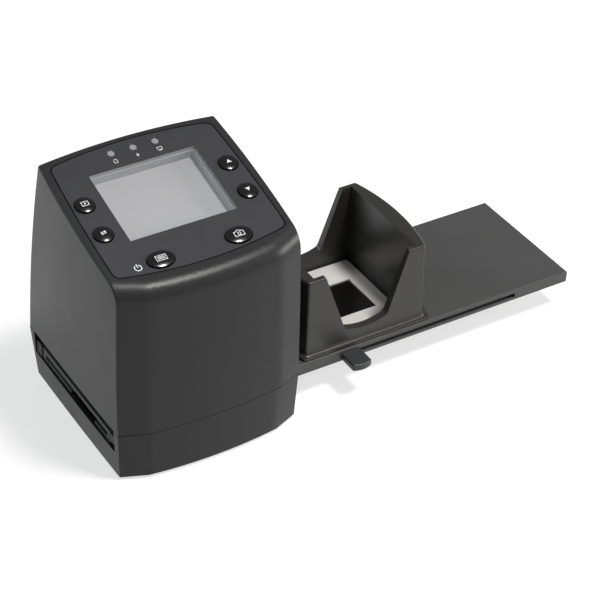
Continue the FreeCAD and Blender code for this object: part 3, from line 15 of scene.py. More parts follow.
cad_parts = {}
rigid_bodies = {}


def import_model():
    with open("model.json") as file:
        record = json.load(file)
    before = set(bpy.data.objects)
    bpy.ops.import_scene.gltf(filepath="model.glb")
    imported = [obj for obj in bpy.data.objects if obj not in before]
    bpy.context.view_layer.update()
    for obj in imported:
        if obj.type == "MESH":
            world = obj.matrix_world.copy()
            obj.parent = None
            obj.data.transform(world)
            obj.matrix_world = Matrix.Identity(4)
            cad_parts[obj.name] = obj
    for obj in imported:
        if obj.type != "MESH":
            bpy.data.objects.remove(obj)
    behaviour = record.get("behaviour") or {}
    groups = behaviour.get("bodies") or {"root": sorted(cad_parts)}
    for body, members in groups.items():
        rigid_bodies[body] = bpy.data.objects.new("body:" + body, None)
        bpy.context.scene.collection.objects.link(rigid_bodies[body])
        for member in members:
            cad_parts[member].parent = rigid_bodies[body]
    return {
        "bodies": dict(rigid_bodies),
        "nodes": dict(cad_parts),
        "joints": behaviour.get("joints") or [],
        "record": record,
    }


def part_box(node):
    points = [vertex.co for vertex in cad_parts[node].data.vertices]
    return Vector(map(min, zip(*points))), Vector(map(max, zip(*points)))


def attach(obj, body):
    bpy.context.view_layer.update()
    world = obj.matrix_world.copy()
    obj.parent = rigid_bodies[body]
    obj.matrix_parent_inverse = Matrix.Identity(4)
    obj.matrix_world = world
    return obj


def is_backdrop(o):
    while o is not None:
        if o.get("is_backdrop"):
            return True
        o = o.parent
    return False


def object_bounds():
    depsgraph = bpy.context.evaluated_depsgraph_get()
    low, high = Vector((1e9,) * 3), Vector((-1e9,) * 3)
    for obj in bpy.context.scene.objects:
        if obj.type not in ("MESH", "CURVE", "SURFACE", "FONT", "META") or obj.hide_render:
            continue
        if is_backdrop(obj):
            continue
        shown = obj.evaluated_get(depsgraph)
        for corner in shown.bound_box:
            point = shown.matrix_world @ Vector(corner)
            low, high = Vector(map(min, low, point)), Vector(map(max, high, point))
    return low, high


LOG = logging.getLogger("film_scanner")
MM = 0.001
IMAGE_SIZE = 600
WHITE_LIGHT = (1.0, 1.0, 1.0, 1.0)
Colour = tuple[float, float, float]
Point = tuple[float, float]
Place = tuple[float, float, float]
Block = tuple[Vector, Vector]

# The places of a mix node's sockets when it mixes colours.
MIX_FACTOR_INPUT = 0
MIX_COLOUR_INPUTS = (6, 7)
MIX_COLOUR_OUTPUT = 2

# The middle range that most noise values lie in, and the noises of the shared effects.
USUAL_NOISE_LOW = 0.3
USUAL_NOISE_HIGH = 0.7
GRAIN_SCALE = 900.0
DRIFT_SCALE = 18.0
FINE_NOISE = {"Detail": 3.0, "Roughness": 0.6}
SLOW_NOISE = {"Detail": 2.0, "Roughness": 0.5}
SMEAR_NOISE = {"Detail": 4.0, "Roughness": 0.7, "Distortion": 0.6}
SPECK_NOISE = {"Scale": 420.0, "Detail": 5.0, "Roughness": 0.75}

# The look of dust: its thinnest patch, and how far up a face must look to catch any.
DUST_COLOUR: Colour = (0.42, 0.41, 0.39)
DUST_LEAST = 0.2
DUST_SLOPE = 0.3

BUMP_STRENGTH = 1.0
LEAST_ROUGHNESS = 0.02
WHOLE_TURN = 360.0


class NodeKind(Enum):
    """The shader nodes that the finishes are wired from."""

    COORDINATES = "ShaderNodeTexCoord"
    NOISE = "ShaderNodeTexNoise"
    RAMP = "ShaderNodeMapRange"
    MATHS = "ShaderNodeMath"
    MIX = "ShaderNodeMix"
    BUMP = "ShaderNodeBump"
    GROUP = "ShaderNodeGroup"
    GEOMETRY = "ShaderNodeNewGeometry"
    SPLIT = "ShaderNodeSeparateXYZ"
    LIGHT_PATH = "ShaderNodeLightPath"


class Effect(Enum):
    """The surface effects that several finishes share, each one node group."""

    GRAIN = "moulded_grain"
    DUST = "settled_dust"


class Operation(Enum):
    """How a maths node joins its two values."""

    PRODUCT = "MULTIPLY"
    LARGER = "MAXIMUM"


def add_node(tree: bpy.types.NodeTree, kind: NodeKind, **inputs: float) -> bpy.types.Node:
    """Add a node and set some of its inputs.

    Args:
        tree: The node tree that gets the node.
        kind: Which node to add.
        **inputs: Input values by socket name, with underscores for spaces.

    Returns:
        The new node.
    """
    node = tree.nodes.new(kind.value)
    for name, value in inputs.items():
        node.inputs[name.replace("_", " ")].default_value = value
    return node


def calculate(
    tree: bpy.types.NodeTree,
    operation: Operation,
    first: bpy.types.NodeSocket,
    second: bpy.types.NodeSocket | float,
) -> bpy.types.NodeSocket:
    """Work out a value from two others.

    Args:
        tree: The node tree to build in.
        operation: How the two values are joined.
        first: The first value.
        second: The second value, as a socket or a number.

    Returns:
        The result's socket.
    """
    node = tree.nodes.new(NodeKind.MATHS.value)
    node.operation = operation.value
    tree.links.new(first, node.inputs[0])
    if isinstance(second, bpy.types.NodeSocket):
        tree.links.new(second, node.inputs[1])
    else:
        node.inputs[1].default_value = second
    return node.outputs["Value"]


def mix_colours(
    tree: bpy.types.NodeTree,
    mask: bpy.types.NodeSocket,
    low: bpy.types.NodeSocket | Colour,
    high: bpy.types.NodeSocket | Colour,
) -> bpy.types.NodeSocket:
    """Mix two colours by a mask.

    Args:
        tree: The node tree to build in.
        mask: The socket that goes from low at 0 to high at 1.
        low: A colour or a colour socket.
        high: A colour or a colour socket.

    Returns:
        The mixed colour's socket.
    """
    mix = tree.nodes.new(NodeKind.MIX.value)
    mix.data_type = "RGBA"
    tree.links.new(mask, mix.inputs[MIX_FACTOR_INPUT])
    for source, place in zip((low, high), MIX_COLOUR_INPUTS):
        if isinstance(source, bpy.types.NodeSocket):
            tree.links.new(source, mix.inputs[place])
        else:
            mix.inputs[place].default_value = (*source, 1.0)
    return mix.outputs[MIX_COLOUR_OUTPUT]


def remap(
    tree: bpy.types.NodeTree, value: bpy.types.NodeSocket, low: float, high: float
) -> bpy.types.NodeSocket:
    """Stretch a noise value from its usual middle range to new limits.

    Args:
        tree: The node tree to build in.
        value: The socket to stretch.
        low: The result for a low value.
        high: The result for a high value.

    Returns:
        The stretched value's socket.
    """
    ramp = add_node(tree, NodeKind.RAMP, To_Min=low, To_Max=high)
    ramp.inputs["From Min"].default_value = USUAL_NOISE_LOW
    ramp.inputs["From Max"].default_value = USUAL_NOISE_HIGH
    tree.links.new(value, ramp.inputs["Value"])
    return ramp.outputs["Result"]


class EffectLibrary:
    """Builds each shared effect once and places it in materials."""

    def __init__(self) -> None:
        """Start with no effect built."""
        self._built: dict[Effect, bpy.types.NodeTree] = {}
        self._makers: dict[Effect, Callable[[], bpy.types.NodeTree]] = {
            Effect.GRAIN: self._make_grain,
            Effect.DUST: self._make_dust,
        }

    def place(self, tree: bpy.types.NodeTree, effect: Effect, **inputs: float) -> bpy.types.Node:
        """Put an effect in a material.

        Args:
            tree: The material's node tree.
            effect: Which effect to place.
            **inputs: Input values by socket name.

        Returns:
            The group node.
        """
        if effect not in self._built:
            self._built[effect] = self._makers[effect]()
        node = tree.nodes.new(NodeKind.GROUP.value)
        node.node_tree = self._built[effect]
        for name, value in inputs.items():
            node.inputs[name].default_value = value
        return node

    @staticmethod
    def _new_group(
        effect: Effect, inputs: dict[str, float], outputs: dict[str, str]
    ) -> bpy.types.NodeTree:
        """Make an empty group with its sockets.

        Args:
            effect: The effect that the group holds.
            inputs: Input names with their default values.
            outputs: Output names with their socket types.

        Returns:
            The group, with its input and output nodes.
        """
        tree = bpy.data.node_groups.new(effect.value, "ShaderNodeTree")
        for name, value in inputs.items():
            socket = tree.interface.new_socket(name, in_out="INPUT", socket_type="NodeSocketFloat")
            socket.default_value = value
        for name, kind in outputs.items():
            tree.interface.new_socket(name, in_out="OUTPUT", socket_type=kind)
        tree.nodes.new("NodeGroupInput")
        tree.nodes.new("NodeGroupOutput")
        return tree

    def _make_grain(self) -> bpy.types.NodeTree:
        """Fine moulded grain: a bump, and slow drifts of shade and gloss.

        Returns:
            The group. Shade and Gloss are masks from 0 to 1, Height feeds a Bump node.
        """
        inputs = {"Scale": GRAIN_SCALE, "Drift": DRIFT_SCALE}
        outputs = {
            "Shade": "NodeSocketFloat",
            "Gloss": "NodeSocketFloat",
            "Height": "NodeSocketFloat",
        }
        tree = self._new_group(Effect.GRAIN, inputs, outputs)
        source = tree.nodes["Group Input"]
        sink = tree.nodes["Group Output"]
        place = add_node(tree, NodeKind.COORDINATES)
        fine = add_node(tree, NodeKind.NOISE, **FINE_NOISE)
        slow = add_node(tree, NodeKind.NOISE, **SLOW_NOISE)
        smear = add_node(tree, NodeKind.NOISE, **SMEAR_NOISE)
        for noise, scale in ((fine, "Scale"), (slow, "Drift"), (smear, "Drift")):
            tree.links.new(place.outputs["Object"], noise.inputs["Vector"])
            tree.links.new(source.outputs[scale], noise.inputs["Scale"])
        tree.links.new(remap(tree, slow.outputs["Fac"], 0.0, 1.0), sink.inputs["Shade"])
        tree.links.new(remap(tree, smear.outputs["Fac"], 0.0, 1.0), sink.inputs["Gloss"])
        tree.links.new(fine.outputs["Fac"], sink.inputs["Height"])
        return tree

    def _make_dust(self) -> bpy.types.NodeTree:
        """Faint dust that settles on faces that look up.

        Returns:
            The group. Mask is 0 on a clean surface.
        """
        tree = self._new_group(Effect.DUST, {"Amount": 0.0}, {"Mask": "NodeSocketFloat"})
        source = tree.nodes["Group Input"]
        sink = tree.nodes["Group Output"]
        place = add_node(tree, NodeKind.COORDINATES)
        specks = add_node(tree, NodeKind.NOISE, **SPECK_NOISE)
        tree.links.new(place.outputs["Object"], specks.inputs["Vector"])
        geometry = add_node(tree, NodeKind.GEOMETRY)
        split = add_node(tree, NodeKind.SPLIT)
        tree.links.new(geometry.outputs["Normal"], split.inputs["Vector"])
        facing = add_node(tree, NodeKind.RAMP, From_Min=DUST_SLOPE, From_Max=1.0)
        tree.links.new(split.outputs["Z"], facing.inputs["Value"])
        patches = remap(tree, specks.outputs["Fac"], DUST_LEAST, 1.0)
        spread = calculate(tree, Operation.PRODUCT, patches, facing.outputs["Result"])
        mask = calculate(tree, Operation.PRODUCT, spread, source.outputs["Amount"])
        tree.links.new(mask, sink.inputs["Mask"])
        return tree


EFFECTS = EffectLibrary()


def scaled(colour: Colour, factor: float) -> Colour:
    """The colour made lighter or darker by a factor."""
    return tuple(min(1.0, channel * factor) for channel in colour)


@dataclass(frozen=True)
class Finish:
    """One finish of the scanner: a base colour with grain, gloss drift and dust.

    Attributes:
        name: The material's name.
        colour: The base colour.
        roughness: The middle of its roughness.
        drift: The share by which the colour grows lighter and darker over the surface.
        gloss_drift: How far the roughness wanders to either side.
        grain_scale: How fine the grain is, in noise cells per metre.
        grain_depth: How deep the grain is, in millimetres.
        dust: How much dust lies on faces that look up.
        metallic: 1 for bare metal.
        coat: The weight of a clear coat.
        coat_roughness: The clear coat's roughness.
        specular: The strength of plain reflections.
        alpha: Below 1 for clear pieces.
    """

    name: str
    colour: Colour
    roughness: float
    drift: float = 0.08
    gloss_drift: float = 0.05
    grain_scale: float = GRAIN_SCALE
    grain_depth: float = 0.004
    dust: float = 0.0
    metallic: float = 0.0
    coat: float = 0.0
    coat_roughness: float = 0.1
    specular: float = 0.5
    alpha: float = 1.0

    def material(self) -> bpy.types.Material:
        """Build the finish as a material.

        Returns:
            The material, one per finish name.
        """
        ready = bpy.data.materials.get(self.name)
        if ready is not None:
            return ready
        material = bpy.data.materials.new(self.name)
        material.use_nodes = True
        tree = material.node_tree
        shader = tree.nodes["Principled BSDF"]
        shader.inputs["Metallic"].default_value = self.metallic
        shader.inputs["Coat Weight"].default_value = self.coat
        shader.inputs["Coat Roughness"].default_value = self.coat_roughness
        shader.inputs["Specular IOR Level"].default_value = self.specular
        shader.inputs["Alpha"].default_value = self.alpha
        grain = EFFECTS.place(tree, Effect.GRAIN, Scale=self.grain_scale)
        shade = self.shade(tree, grain)
        if self.dust > 0:
            dust = EFFECTS.place(tree, Effect.DUST, Amount=self.dust)
            shade = mix_colours(tree, dust.outputs["Mask"], shade, DUST_COLOUR)
        tree.links.new(shade, shader.inputs["Base Color"])
        low = max(LEAST_ROUGHNESS, self.roughness - self.gloss_drift)
        high = min(1.0, self.roughness + self.gloss_drift)
        gloss = add_node(tree, NodeKind.RAMP, To_Min=low, To_Max=high)
        tree.links.new(grain.outputs["Gloss"], gloss.inputs["Value"])
        tree.links.new(gloss.outputs["Result"], shader.inputs["Roughness"])
        depth = self.grain_depth * MM
        bump = add_node(tree, NodeKind.BUMP, Strength=BUMP_STRENGTH, Distance=depth)
        tree.links.new(grain.outputs["Height"], bump.inputs["Height"])
        tree.links.new(bump.outputs["Normal"], shader.inputs["Normal"])
        return material

    def shade(self, tree: bpy.types.NodeTree, grain: bpy.types.Node) -> bpy.types.NodeSocket:
        """The base colour over the surface.

        Args:
            tree: The material's node tree.
            grain: The placed grain effect.

        Returns:
            The colour's socket.
        """
        dark = scaled(self.colour, 1.0 - self.drift)
        light = scaled(self.colour, 1.0 + self.drift)
        return mix_colours(tree, grain.outputs["Shade"], dark, light)


class Palette:
    """All finishes of the scanner."""

    SHELL = Finish(
        "satin_black_shell", (0.026, 0.0262, 0.0272), 0.34, gloss_drift=0.03, specular=0.23
    )
    BASE = Finish("satin_black_base", (0.02, 0.02, 0.0205), 0.36, specular=0.25)
    FASCIA = Finish(
        "fascia_film", (0.031, 0.0315, 0.036), 0.44, grain_depth=0.0015, grain_scale=1500.0
    )
    WINDOW = Finish(
        "clear_window", (0.8, 0.82, 0.85), 0.05, gloss_drift=0.02, grain_depth=0.0, alpha=0.06
    )
    WELL = Finish("grey_screen_frame", (0.36, 0.36, 0.38), 0.75, specular=0.15)
    SCREEN = Finish(
        "unlit_screen", (0.345, 0.345, 0.364), 0.45, drift=0.04, grain_depth=0.0005, specular=0.3
    )
    FOAM = Finish("black_foam", (0.02, 0.02, 0.02), 0.95, grain_scale=500.0, grain_depth=0.05)
    BUTTON = Finish(
        "gloss_black_button",
        (0.004, 0.004, 0.0045),
        0.2,
        gloss_drift=0.04,
        grain_depth=0.0008,
        coat=0.4,
        coat_roughness=0.06,
    )
    PIPE = Finish("frosted_light_pipe", (0.27, 0.27, 0.28), 0.4, grain_depth=0.003)
    BOARD = Finish("green_board", (0.012, 0.09, 0.035), 0.4, drift=0.25, coat=0.3)
    CHIP = Finish("black_component", (0.02, 0.02, 0.021), 0.55)
    STEEL = Finish("plated_steel", (0.55, 0.55, 0.54), 0.32, metallic=1.0, grain_depth=0.002)
    GUIDE = Finish("matt_black_guide", (0.03, 0.03, 0.03), 0.55, specular=0.3)
    OPAL = Finish("opal_diffuser", (0.8, 0.8, 0.78), 0.5)
    WHITE_BOX = Finish("white_light_box", (0.75, 0.75, 0.73), 0.6)
    LAMP = Finish("lamp_chip", (0.75, 0.68, 0.35), 0.4)
    LENS = Finish("lens_glass", (0.7, 0.75, 0.8), 0.04, grain_depth=0.0, alpha=0.25)
    TRAY = Finish("satin_grey_feeder", (0.06, 0.06, 0.0605), 0.42, specular=0.4)
    HOPPER = Finish(
        "satin_black_magazine", (0.027, 0.0264, 0.0249), 0.33, gloss_drift=0.015, grain_depth=0.002
    )
    KNOB = Finish("satin_grey_knob", (0.03, 0.031, 0.033), 0.4)
    MOUNT = Finish(
        "warm_white_mount", (0.7, 0.68, 0.645), 0.5, drift=0.03, grain_scale=600.0, grain_depth=0.006
    )
    FILM = Finish("dark_film", (0.006, 0.005, 0.0045), 0.16, grain_depth=0.0)
    RUBBER = Finish("black_rubber", (0.018, 0.018, 0.018), 0.85, grain_depth=0.02, dust=0.02)
    PRINT = Finish("white_print", (0.72, 0.73, 0.74), 0.55, grain_depth=0.001)


NODE_FINISHES: dict[str, Finish] = {
    "upper_cover": Palette.SHELL,
    "base_cover": Palette.BASE,
    "fascia_panel": Palette.FASCIA,
    "screen_window": Palette.WINDOW,
    "screen_frame": Palette.WELL,
    "screen_module": Palette.SCREEN,
    "screen_pad": Palette.FOAM,
    "playback_button": Palette.BUTTON,
    "flip_button": Palette.BUTTON,
    "up_button": Palette.BUTTON,
    "down_button": Palette.BUTTON,
    "menu_button": Palette.BUTTON,
    "capture_button": Palette.BUTTON,
    "lamp_pipes": Palette.PIPE,
    "main_board": Palette.BOARD,
    "button_switches": Palette.CHIP,
    "indicator_lamps": Palette.LAMP,
    "processor_chip": Palette.CHIP,
    "board_screws": Palette.STEEL,
    "usb_socket": Palette.STEEL,
    "card_socket": Palette.STEEL,
    "video_socket": Palette.CHIP,
    "film_guide": Palette.GUIDE,
    "upper_gate": Palette.GUIDE,
    "diffuser": Palette.OPAL,
    "light_box": Palette.WHITE_BOX,
    "light_board": Palette.BOARD,
    "light_lamps": Palette.LAMP,
    "optics_tower": Palette.GUIDE,
    "lens_barrel": Palette.GUIDE,
    "lens_glass": Palette.LENS,
    "sensor_board": Palette.BOARD,
    "image_sensor": Palette.CHIP,
    "optics_screws": Palette.STEEL,
    "case_screws": Palette.STEEL,
    "rubber_feet": Palette.RUBBER,
    "feeder_tray": Palette.TRAY,
    "slide_frame": Palette.TRAY,
    "feeder_cover": Palette.TRAY,
    "feeder_screws": Palette.STEEL,
    "magazine": Palette.HOPPER,
    "pusher_plate": Palette.GUIDE,
    "pusher_knob": Palette.KNOB,
    "slide_mount": Palette.MOUNT,
    "slide_film": Palette.FILM,
}


@dataclass(frozen=True)
class EdgeSoftening:
    """How much the crisp edges of the CAD pieces are rounded for the eye.

    Attributes:
        width: The width of the rounding.
        segments: How many steps it has.
        angle: The least angle of an edge that is rounded.
        weld: The distance within which doubled points become one.
        normal_weight: How much larger faces count in the smoothed normals.
    """

    width: float = 0.18 * MM
    segments: int = 2
    angle: float = math.radians(38.0)
    weld: float = 0.002 * MM
    normal_weight: int = 60

    def apply(self, item: bpy.types.Object) -> None:
        """Weld the mesh, round its crisp edges and smooth its normals.

        Args:
            item: The object that gets the modifiers.
        """
        weld = item.modifiers.new("weld", "WELD")
        weld.merge_threshold = self.weld
        bevel = item.modifiers.new("soft_edges", "BEVEL")
        bevel.width = self.width
        bevel.segments = self.segments
        bevel.limit_method = "ANGLE"
        bevel.angle_limit = self.angle
        bevel.use_clamp_overlap = True
        normals = item.modifiers.new("normals", "WEIGHTED_NORMAL")
        normals.weight = self.normal_weight
        normals.keep_sharp = False


@dataclass
class Panel:
    """The plane of the tilted top, read from the frame.

    Attributes:
        origin: The middle of the screen window, on the fascia's surface.
        right: The direction to the right across the panel.
        up: The direction up the slope.
        normal: The direction out of the panel.
    """

    origin: Vector
    right: Vector
    up: Vector
    normal: Vector

    @classmethod
    def from_frame(cls, frame: dict) -> "Panel":
        """Work out the panel's plane from a button's axis and the fascia.


        Returns:
            The panel.
        """
        press = next(joint for joint in frame["joints"] if joint["name"] == "menu_press")
        normal = -Vector(press["axis"]).normalized()
        right = Vector((1.0, 0.0, 0.0))
        up = normal.cross(right)
        vertices = frame["nodes"]["fascia_panel"].data.vertices
        surface = max(vertex.co.dot(normal) for vertex in vertices)
        low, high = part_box("screen_window")
        centre = (low + high) / 2
        return cls(centre + normal * (surface - centre.dot(normal)), right, up, normal)

    def at(self, across: float, up: float, out: float = 0.0) -> Vector:
        """A point of the panel in the row frame, from distances in metres."""
        return self.origin + self.right * across + self.up * up + self.normal * out

    def crest_of(self, item: bpy.types.Object, depth: float) -> Point:
        """Where the topmost part of a node lies on the panel.

        Args:
            item: The node's object.
            depth: How deep the part reaches below the node's highest point, in metres.

        Returns:
            The middle of that part, across and up, in metres.
        """
        offsets = [vertex.co - self.origin for vertex in item.data.vertices]
        top = max(offset.dot(self.normal) for offset in offsets)
        crest = [offset for offset in offsets if offset.dot(self.normal) > top - depth]
        acrosses = [offset.dot(self.right) for offset in crest]
        ups = [offset.dot(self.up) for offset in crest]
        return (min(acrosses) + max(acrosses)) / 2, (min(ups) + max(ups)) / 2


@dataclass
class CadPieces:
    """The carried-over CAD nodes, with their finishes and softened edges.

    Attributes:
        nodes: The nodes' objects by name.
        panel: The plane of the tilted top.
        softening: How crisp edges are rounded.
        wall_margin: How far past the window's box the opening's walls may lie.
        wall_lean: How much a wall's normal may lean towards the panel's.
        left_crisp: The nodes that keep their edges as they are.
    """

    nodes: dict[str, bpy.types.Object]
    panel: Panel
    softening: EdgeSoftening = field(default_factory=EdgeSoftening)
    wall_margin: float = 0.8 * MM
    wall_lean: float = 0.2
    left_crisp: tuple[str, ...] = ("screen_window", "lens_glass", "slide_film")

    def dress(self) -> None:
        """Give every CAD node its finish."""
        for name, item in self.nodes.items():
            mesh = item.data
            mesh.materials.clear()
            mesh.materials.append(NODE_FINISHES[name].material())
            spare = mesh.attributes.get("custom_normal")
            if spare is not None:
                mesh.attributes.remove(spare)
            mesh.shade_smooth()
            if name in self.left_crisp:
                mesh.shade_flat()
            else:
                self.softening.apply(item)
            LOG.info("dressed %s", name)
        self._pale_window_walls()

    def _pale_window_walls(self) -> None:
        """Give the walls of the fascia's window opening the screen frame's finish."""
        mesh = self.nodes["fascia_panel"].data
        pale_slot = len(mesh.materials)
        mesh.materials.append(Palette.WELL.material())
        low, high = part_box("screen_window")
        for polygon in mesh.polygons:
            upright = abs(polygon.normal.dot(self.panel.normal)) < self.wall_lean
            inside = all(
                least - self.wall_margin < value < most + self.wall_margin
                for value, least, most in zip(polygon.center, low, high)
            )
            if upright and inside:
                polygon.material_index = pale_slot


def add_piece(name: str, shape: bmesh.types.BMesh, finish: Finish, body: str) -> bpy.types.Object:
    """Turn a ready shape into a piece of the scanner.

    Args:
        name: The piece's name.
        shape: Its shape, in the row frame, which this call uses up.
        finish: Its finish.
        body: The body that it rides on.

    Returns:
        The piece's object.
    """
    mesh = bpy.data.meshes.new(name)
    shape.to_mesh(mesh)
    shape.free()
    mesh.materials.append(finish.material())
    item = bpy.data.objects.new(name, mesh)
    bpy.context.scene.collection.objects.link(item)
    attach(item, body)
    LOG.info("added %s", name)
    return item


class Stroke:
    """The widths of the printed lines, in millimetres."""

    LAMP = 0.24
    FRAMED = 0.28
    CAMERA = 0.32
    FLIP = 0.34
    POWER = 0.42


class Glyph:
    """A flat mark made of strokes and filled shapes, drawn in millimetres."""

    def __init__(self, stroke: float = 0.0) -> None:
        """Start an empty mark.

        Args:
            stroke: The width of its lines, if it has any.
        """
        self.stroke = stroke
        self.faces: list[list[Point]] = []

    def fill(self, *points: Point) -> "Glyph":
        """Add a filled convex shape."""
        self.faces.append(list(points))
        return self

    def line(self, *points: Point) -> "Glyph":
        """Add straight strokes from point to point.

        Args:
            *points: The ends of the strokes, in order.

        Returns:
            The mark itself.
        """
        half = self.stroke / 2
        for start, end in zip(points, points[1:]):
            run = Vector(end) - Vector(start)
            along = run.normalized() * half
            side = Vector((-along.y, along.x))
            first, last = Vector(start) - along, Vector(end) + along
            corners = (first - side, last - side, last + side, first + side)
            self.faces.append([tuple(corner) for corner in corners])
        return self

    def arc(
        self, centre: Point, radius: float, start: float, sweep: float, steps: int = 20
    ) -> "Glyph":
        """Add a round stroke.

        Args:
            centre: The middle of the arc.
            radius: The radius of the stroke's middle line.
            start: The starting angle in degrees.
            sweep: The angle that it covers in degrees.
            steps: How many pieces it is made of.

        Returns:
            The mark itself.
        """
        x, y = centre
        half = self.stroke / 2
        for step in range(steps):
            turns = [math.radians(start + sweep * (step + end) / steps) for end in (0, 1)]
            inner, outer = (
                [(x + rim * math.cos(turn), y + rim * math.sin(turn)) for turn in turns]
                for rim in (radius - half, radius + half)
            )
            self.faces.append([inner[0], outer[0], outer[1], inner[1]])
        return self

    def frame(self, half_width: float, half_height: float, centre: Point = (0.0, 0.0)) -> "Glyph":
        """Add a rectangle of strokes.

        Args:
            half_width: Half its width.
            half_height: Half its height.
            centre: Its middle.

        Returns:
            The mark itself.
        """
        x, y = centre
        return self.line(
            (x - half_width, y - half_height),
            (x + half_width, y - half_height),
            (x + half_width, y + half_height),
            (x - half_width, y + half_height),
            (x - half_width, y - half_height),
        )


def play_glyph() -> Glyph:
    """A play triangle in a frame.

    Returns:
        The mark of the playback button.
    """
    half_width, half_height = 1.45, 1.05
    back, tip, spread = -0.45, 0.65, 0.6
    mark = Glyph(Stroke.FRAMED).frame(half_width, half_height)
    return mark.fill((back, -spread), (tip, 0.0), (back, spread))


def flip_glyph() -> Glyph:
    """Two arrows that point opposite ways.

    Returns:
        The mark of the flip button.
    """
    tail, neck, tip = -0.95, 0.45, 1.35
    level, spread = 0.42, 0.58
    mark = Glyph(Stroke.FLIP)
    for turn in (1, -1):
        mark.line((tail * turn, level * turn), (neck * turn, level * turn))
        mark.fill(
            (neck * turn, (level + spread) * turn),
            (neck * turn, (level - spread) * turn),
            (tip * turn, level * turn),
        )
    return mark


def arrow_glyph(up: bool) -> Glyph:
    """A filled triangle.

    Args:
        up: Whether it points up the panel, not down.

    Returns:
        The mark of the up or the down button.
    """
    half_base, foot, tip = 1.15, -0.8, 1.0
    way = 1 if up else -1
    return Glyph().fill((-half_base, foot * way), (half_base, foot * way), (0.0, tip * way))


def menu_glyph() -> Glyph:
    """Three list lines in a frame.

    Returns:
        The mark of the menu button.
    """
    half_width, half_height = 2.25, 1.3
    half_line, spacing = 1.5, 0.56
    mark = Glyph(Stroke.FRAMED).frame(half_width, half_height)
    for row in (-1, 0, 1):
        mark.line((-half_line, row * spacing), (half_line, row * spacing))
    return mark


def camera_glyph() -> Glyph:
    """A camera body with its lens.

    Returns:
        The mark of the capture button.
    """
    half, floor, top = 2.1, -1.35, 0.95
    hump_foot, hump_half, hump_top = 1.05, 0.65, 1.5
    lens_centre, lens_radius = (0.0, -0.2), 0.68
    mark = Glyph(Stroke.CAMERA).line(
        (-half, floor),
        (half, floor),
        (half, top),
        (hump_foot, top),
        (hump_half, hump_top),
        (-hump_half, hump_top),
        (-hump_foot, top),
        (-half, top),
        (-half, floor),
    )
    return mark.arc(lens_centre, lens_radius, 0.0, WHOLE_TURN)


def power_glyph() -> Glyph:
    """A broken ring with a bar.

    Returns:
        The power mark of the fascia.
    """
    radius, ring_start, ring_sweep, ring_steps = 1.45, 120.0, 300.0, 28
    bar_foot, bar_top = 0.35, 1.85
    ring = Glyph(Stroke.POWER).arc((0.0, 0.0), radius, ring_start, ring_sweep, ring_steps)
    return ring.line((0.0, bar_foot), (0.0, bar_top))


def card_glyph() -> Glyph:
    """A memory card with a cut corner.

    Returns:
        The mark of the card lamp.
    """
    side, end, cut = 0.7, 0.95, 0.45
    return Glyph(Stroke.LAMP).line(
        (-side, -end), (side, -end), (side, end), (cut - side, end), (-side, end - cut), (-side, -end)
    )


def bolt_glyph() -> Glyph:
    """A small lightning bolt.

    Returns:
        The mark of the power lamp.
    """
    tip, wing, waist = (0.3, 1.1), (-0.75, -0.15), (-0.05, -0.15)
    mark = Glyph()
    for turn in (1, -1):
        mark.fill(*((x * turn, y * turn) for x, y in (tip, wing, waist)))
    return mark


def monitor_glyph() -> Glyph:
    """A screen on a stand.

    Returns:
        The mark of the monitor lamp.
    """
    half_width, half_height, raised = 1.05, 0.7, 0.2
    half_foot, foot_level = 0.6, -1.0
    mark = Glyph(Stroke.LAMP).frame(half_width, half_height, (0.0, raised))
    return mark.line((-half_foot, foot_level), (half_foot, foot_level))


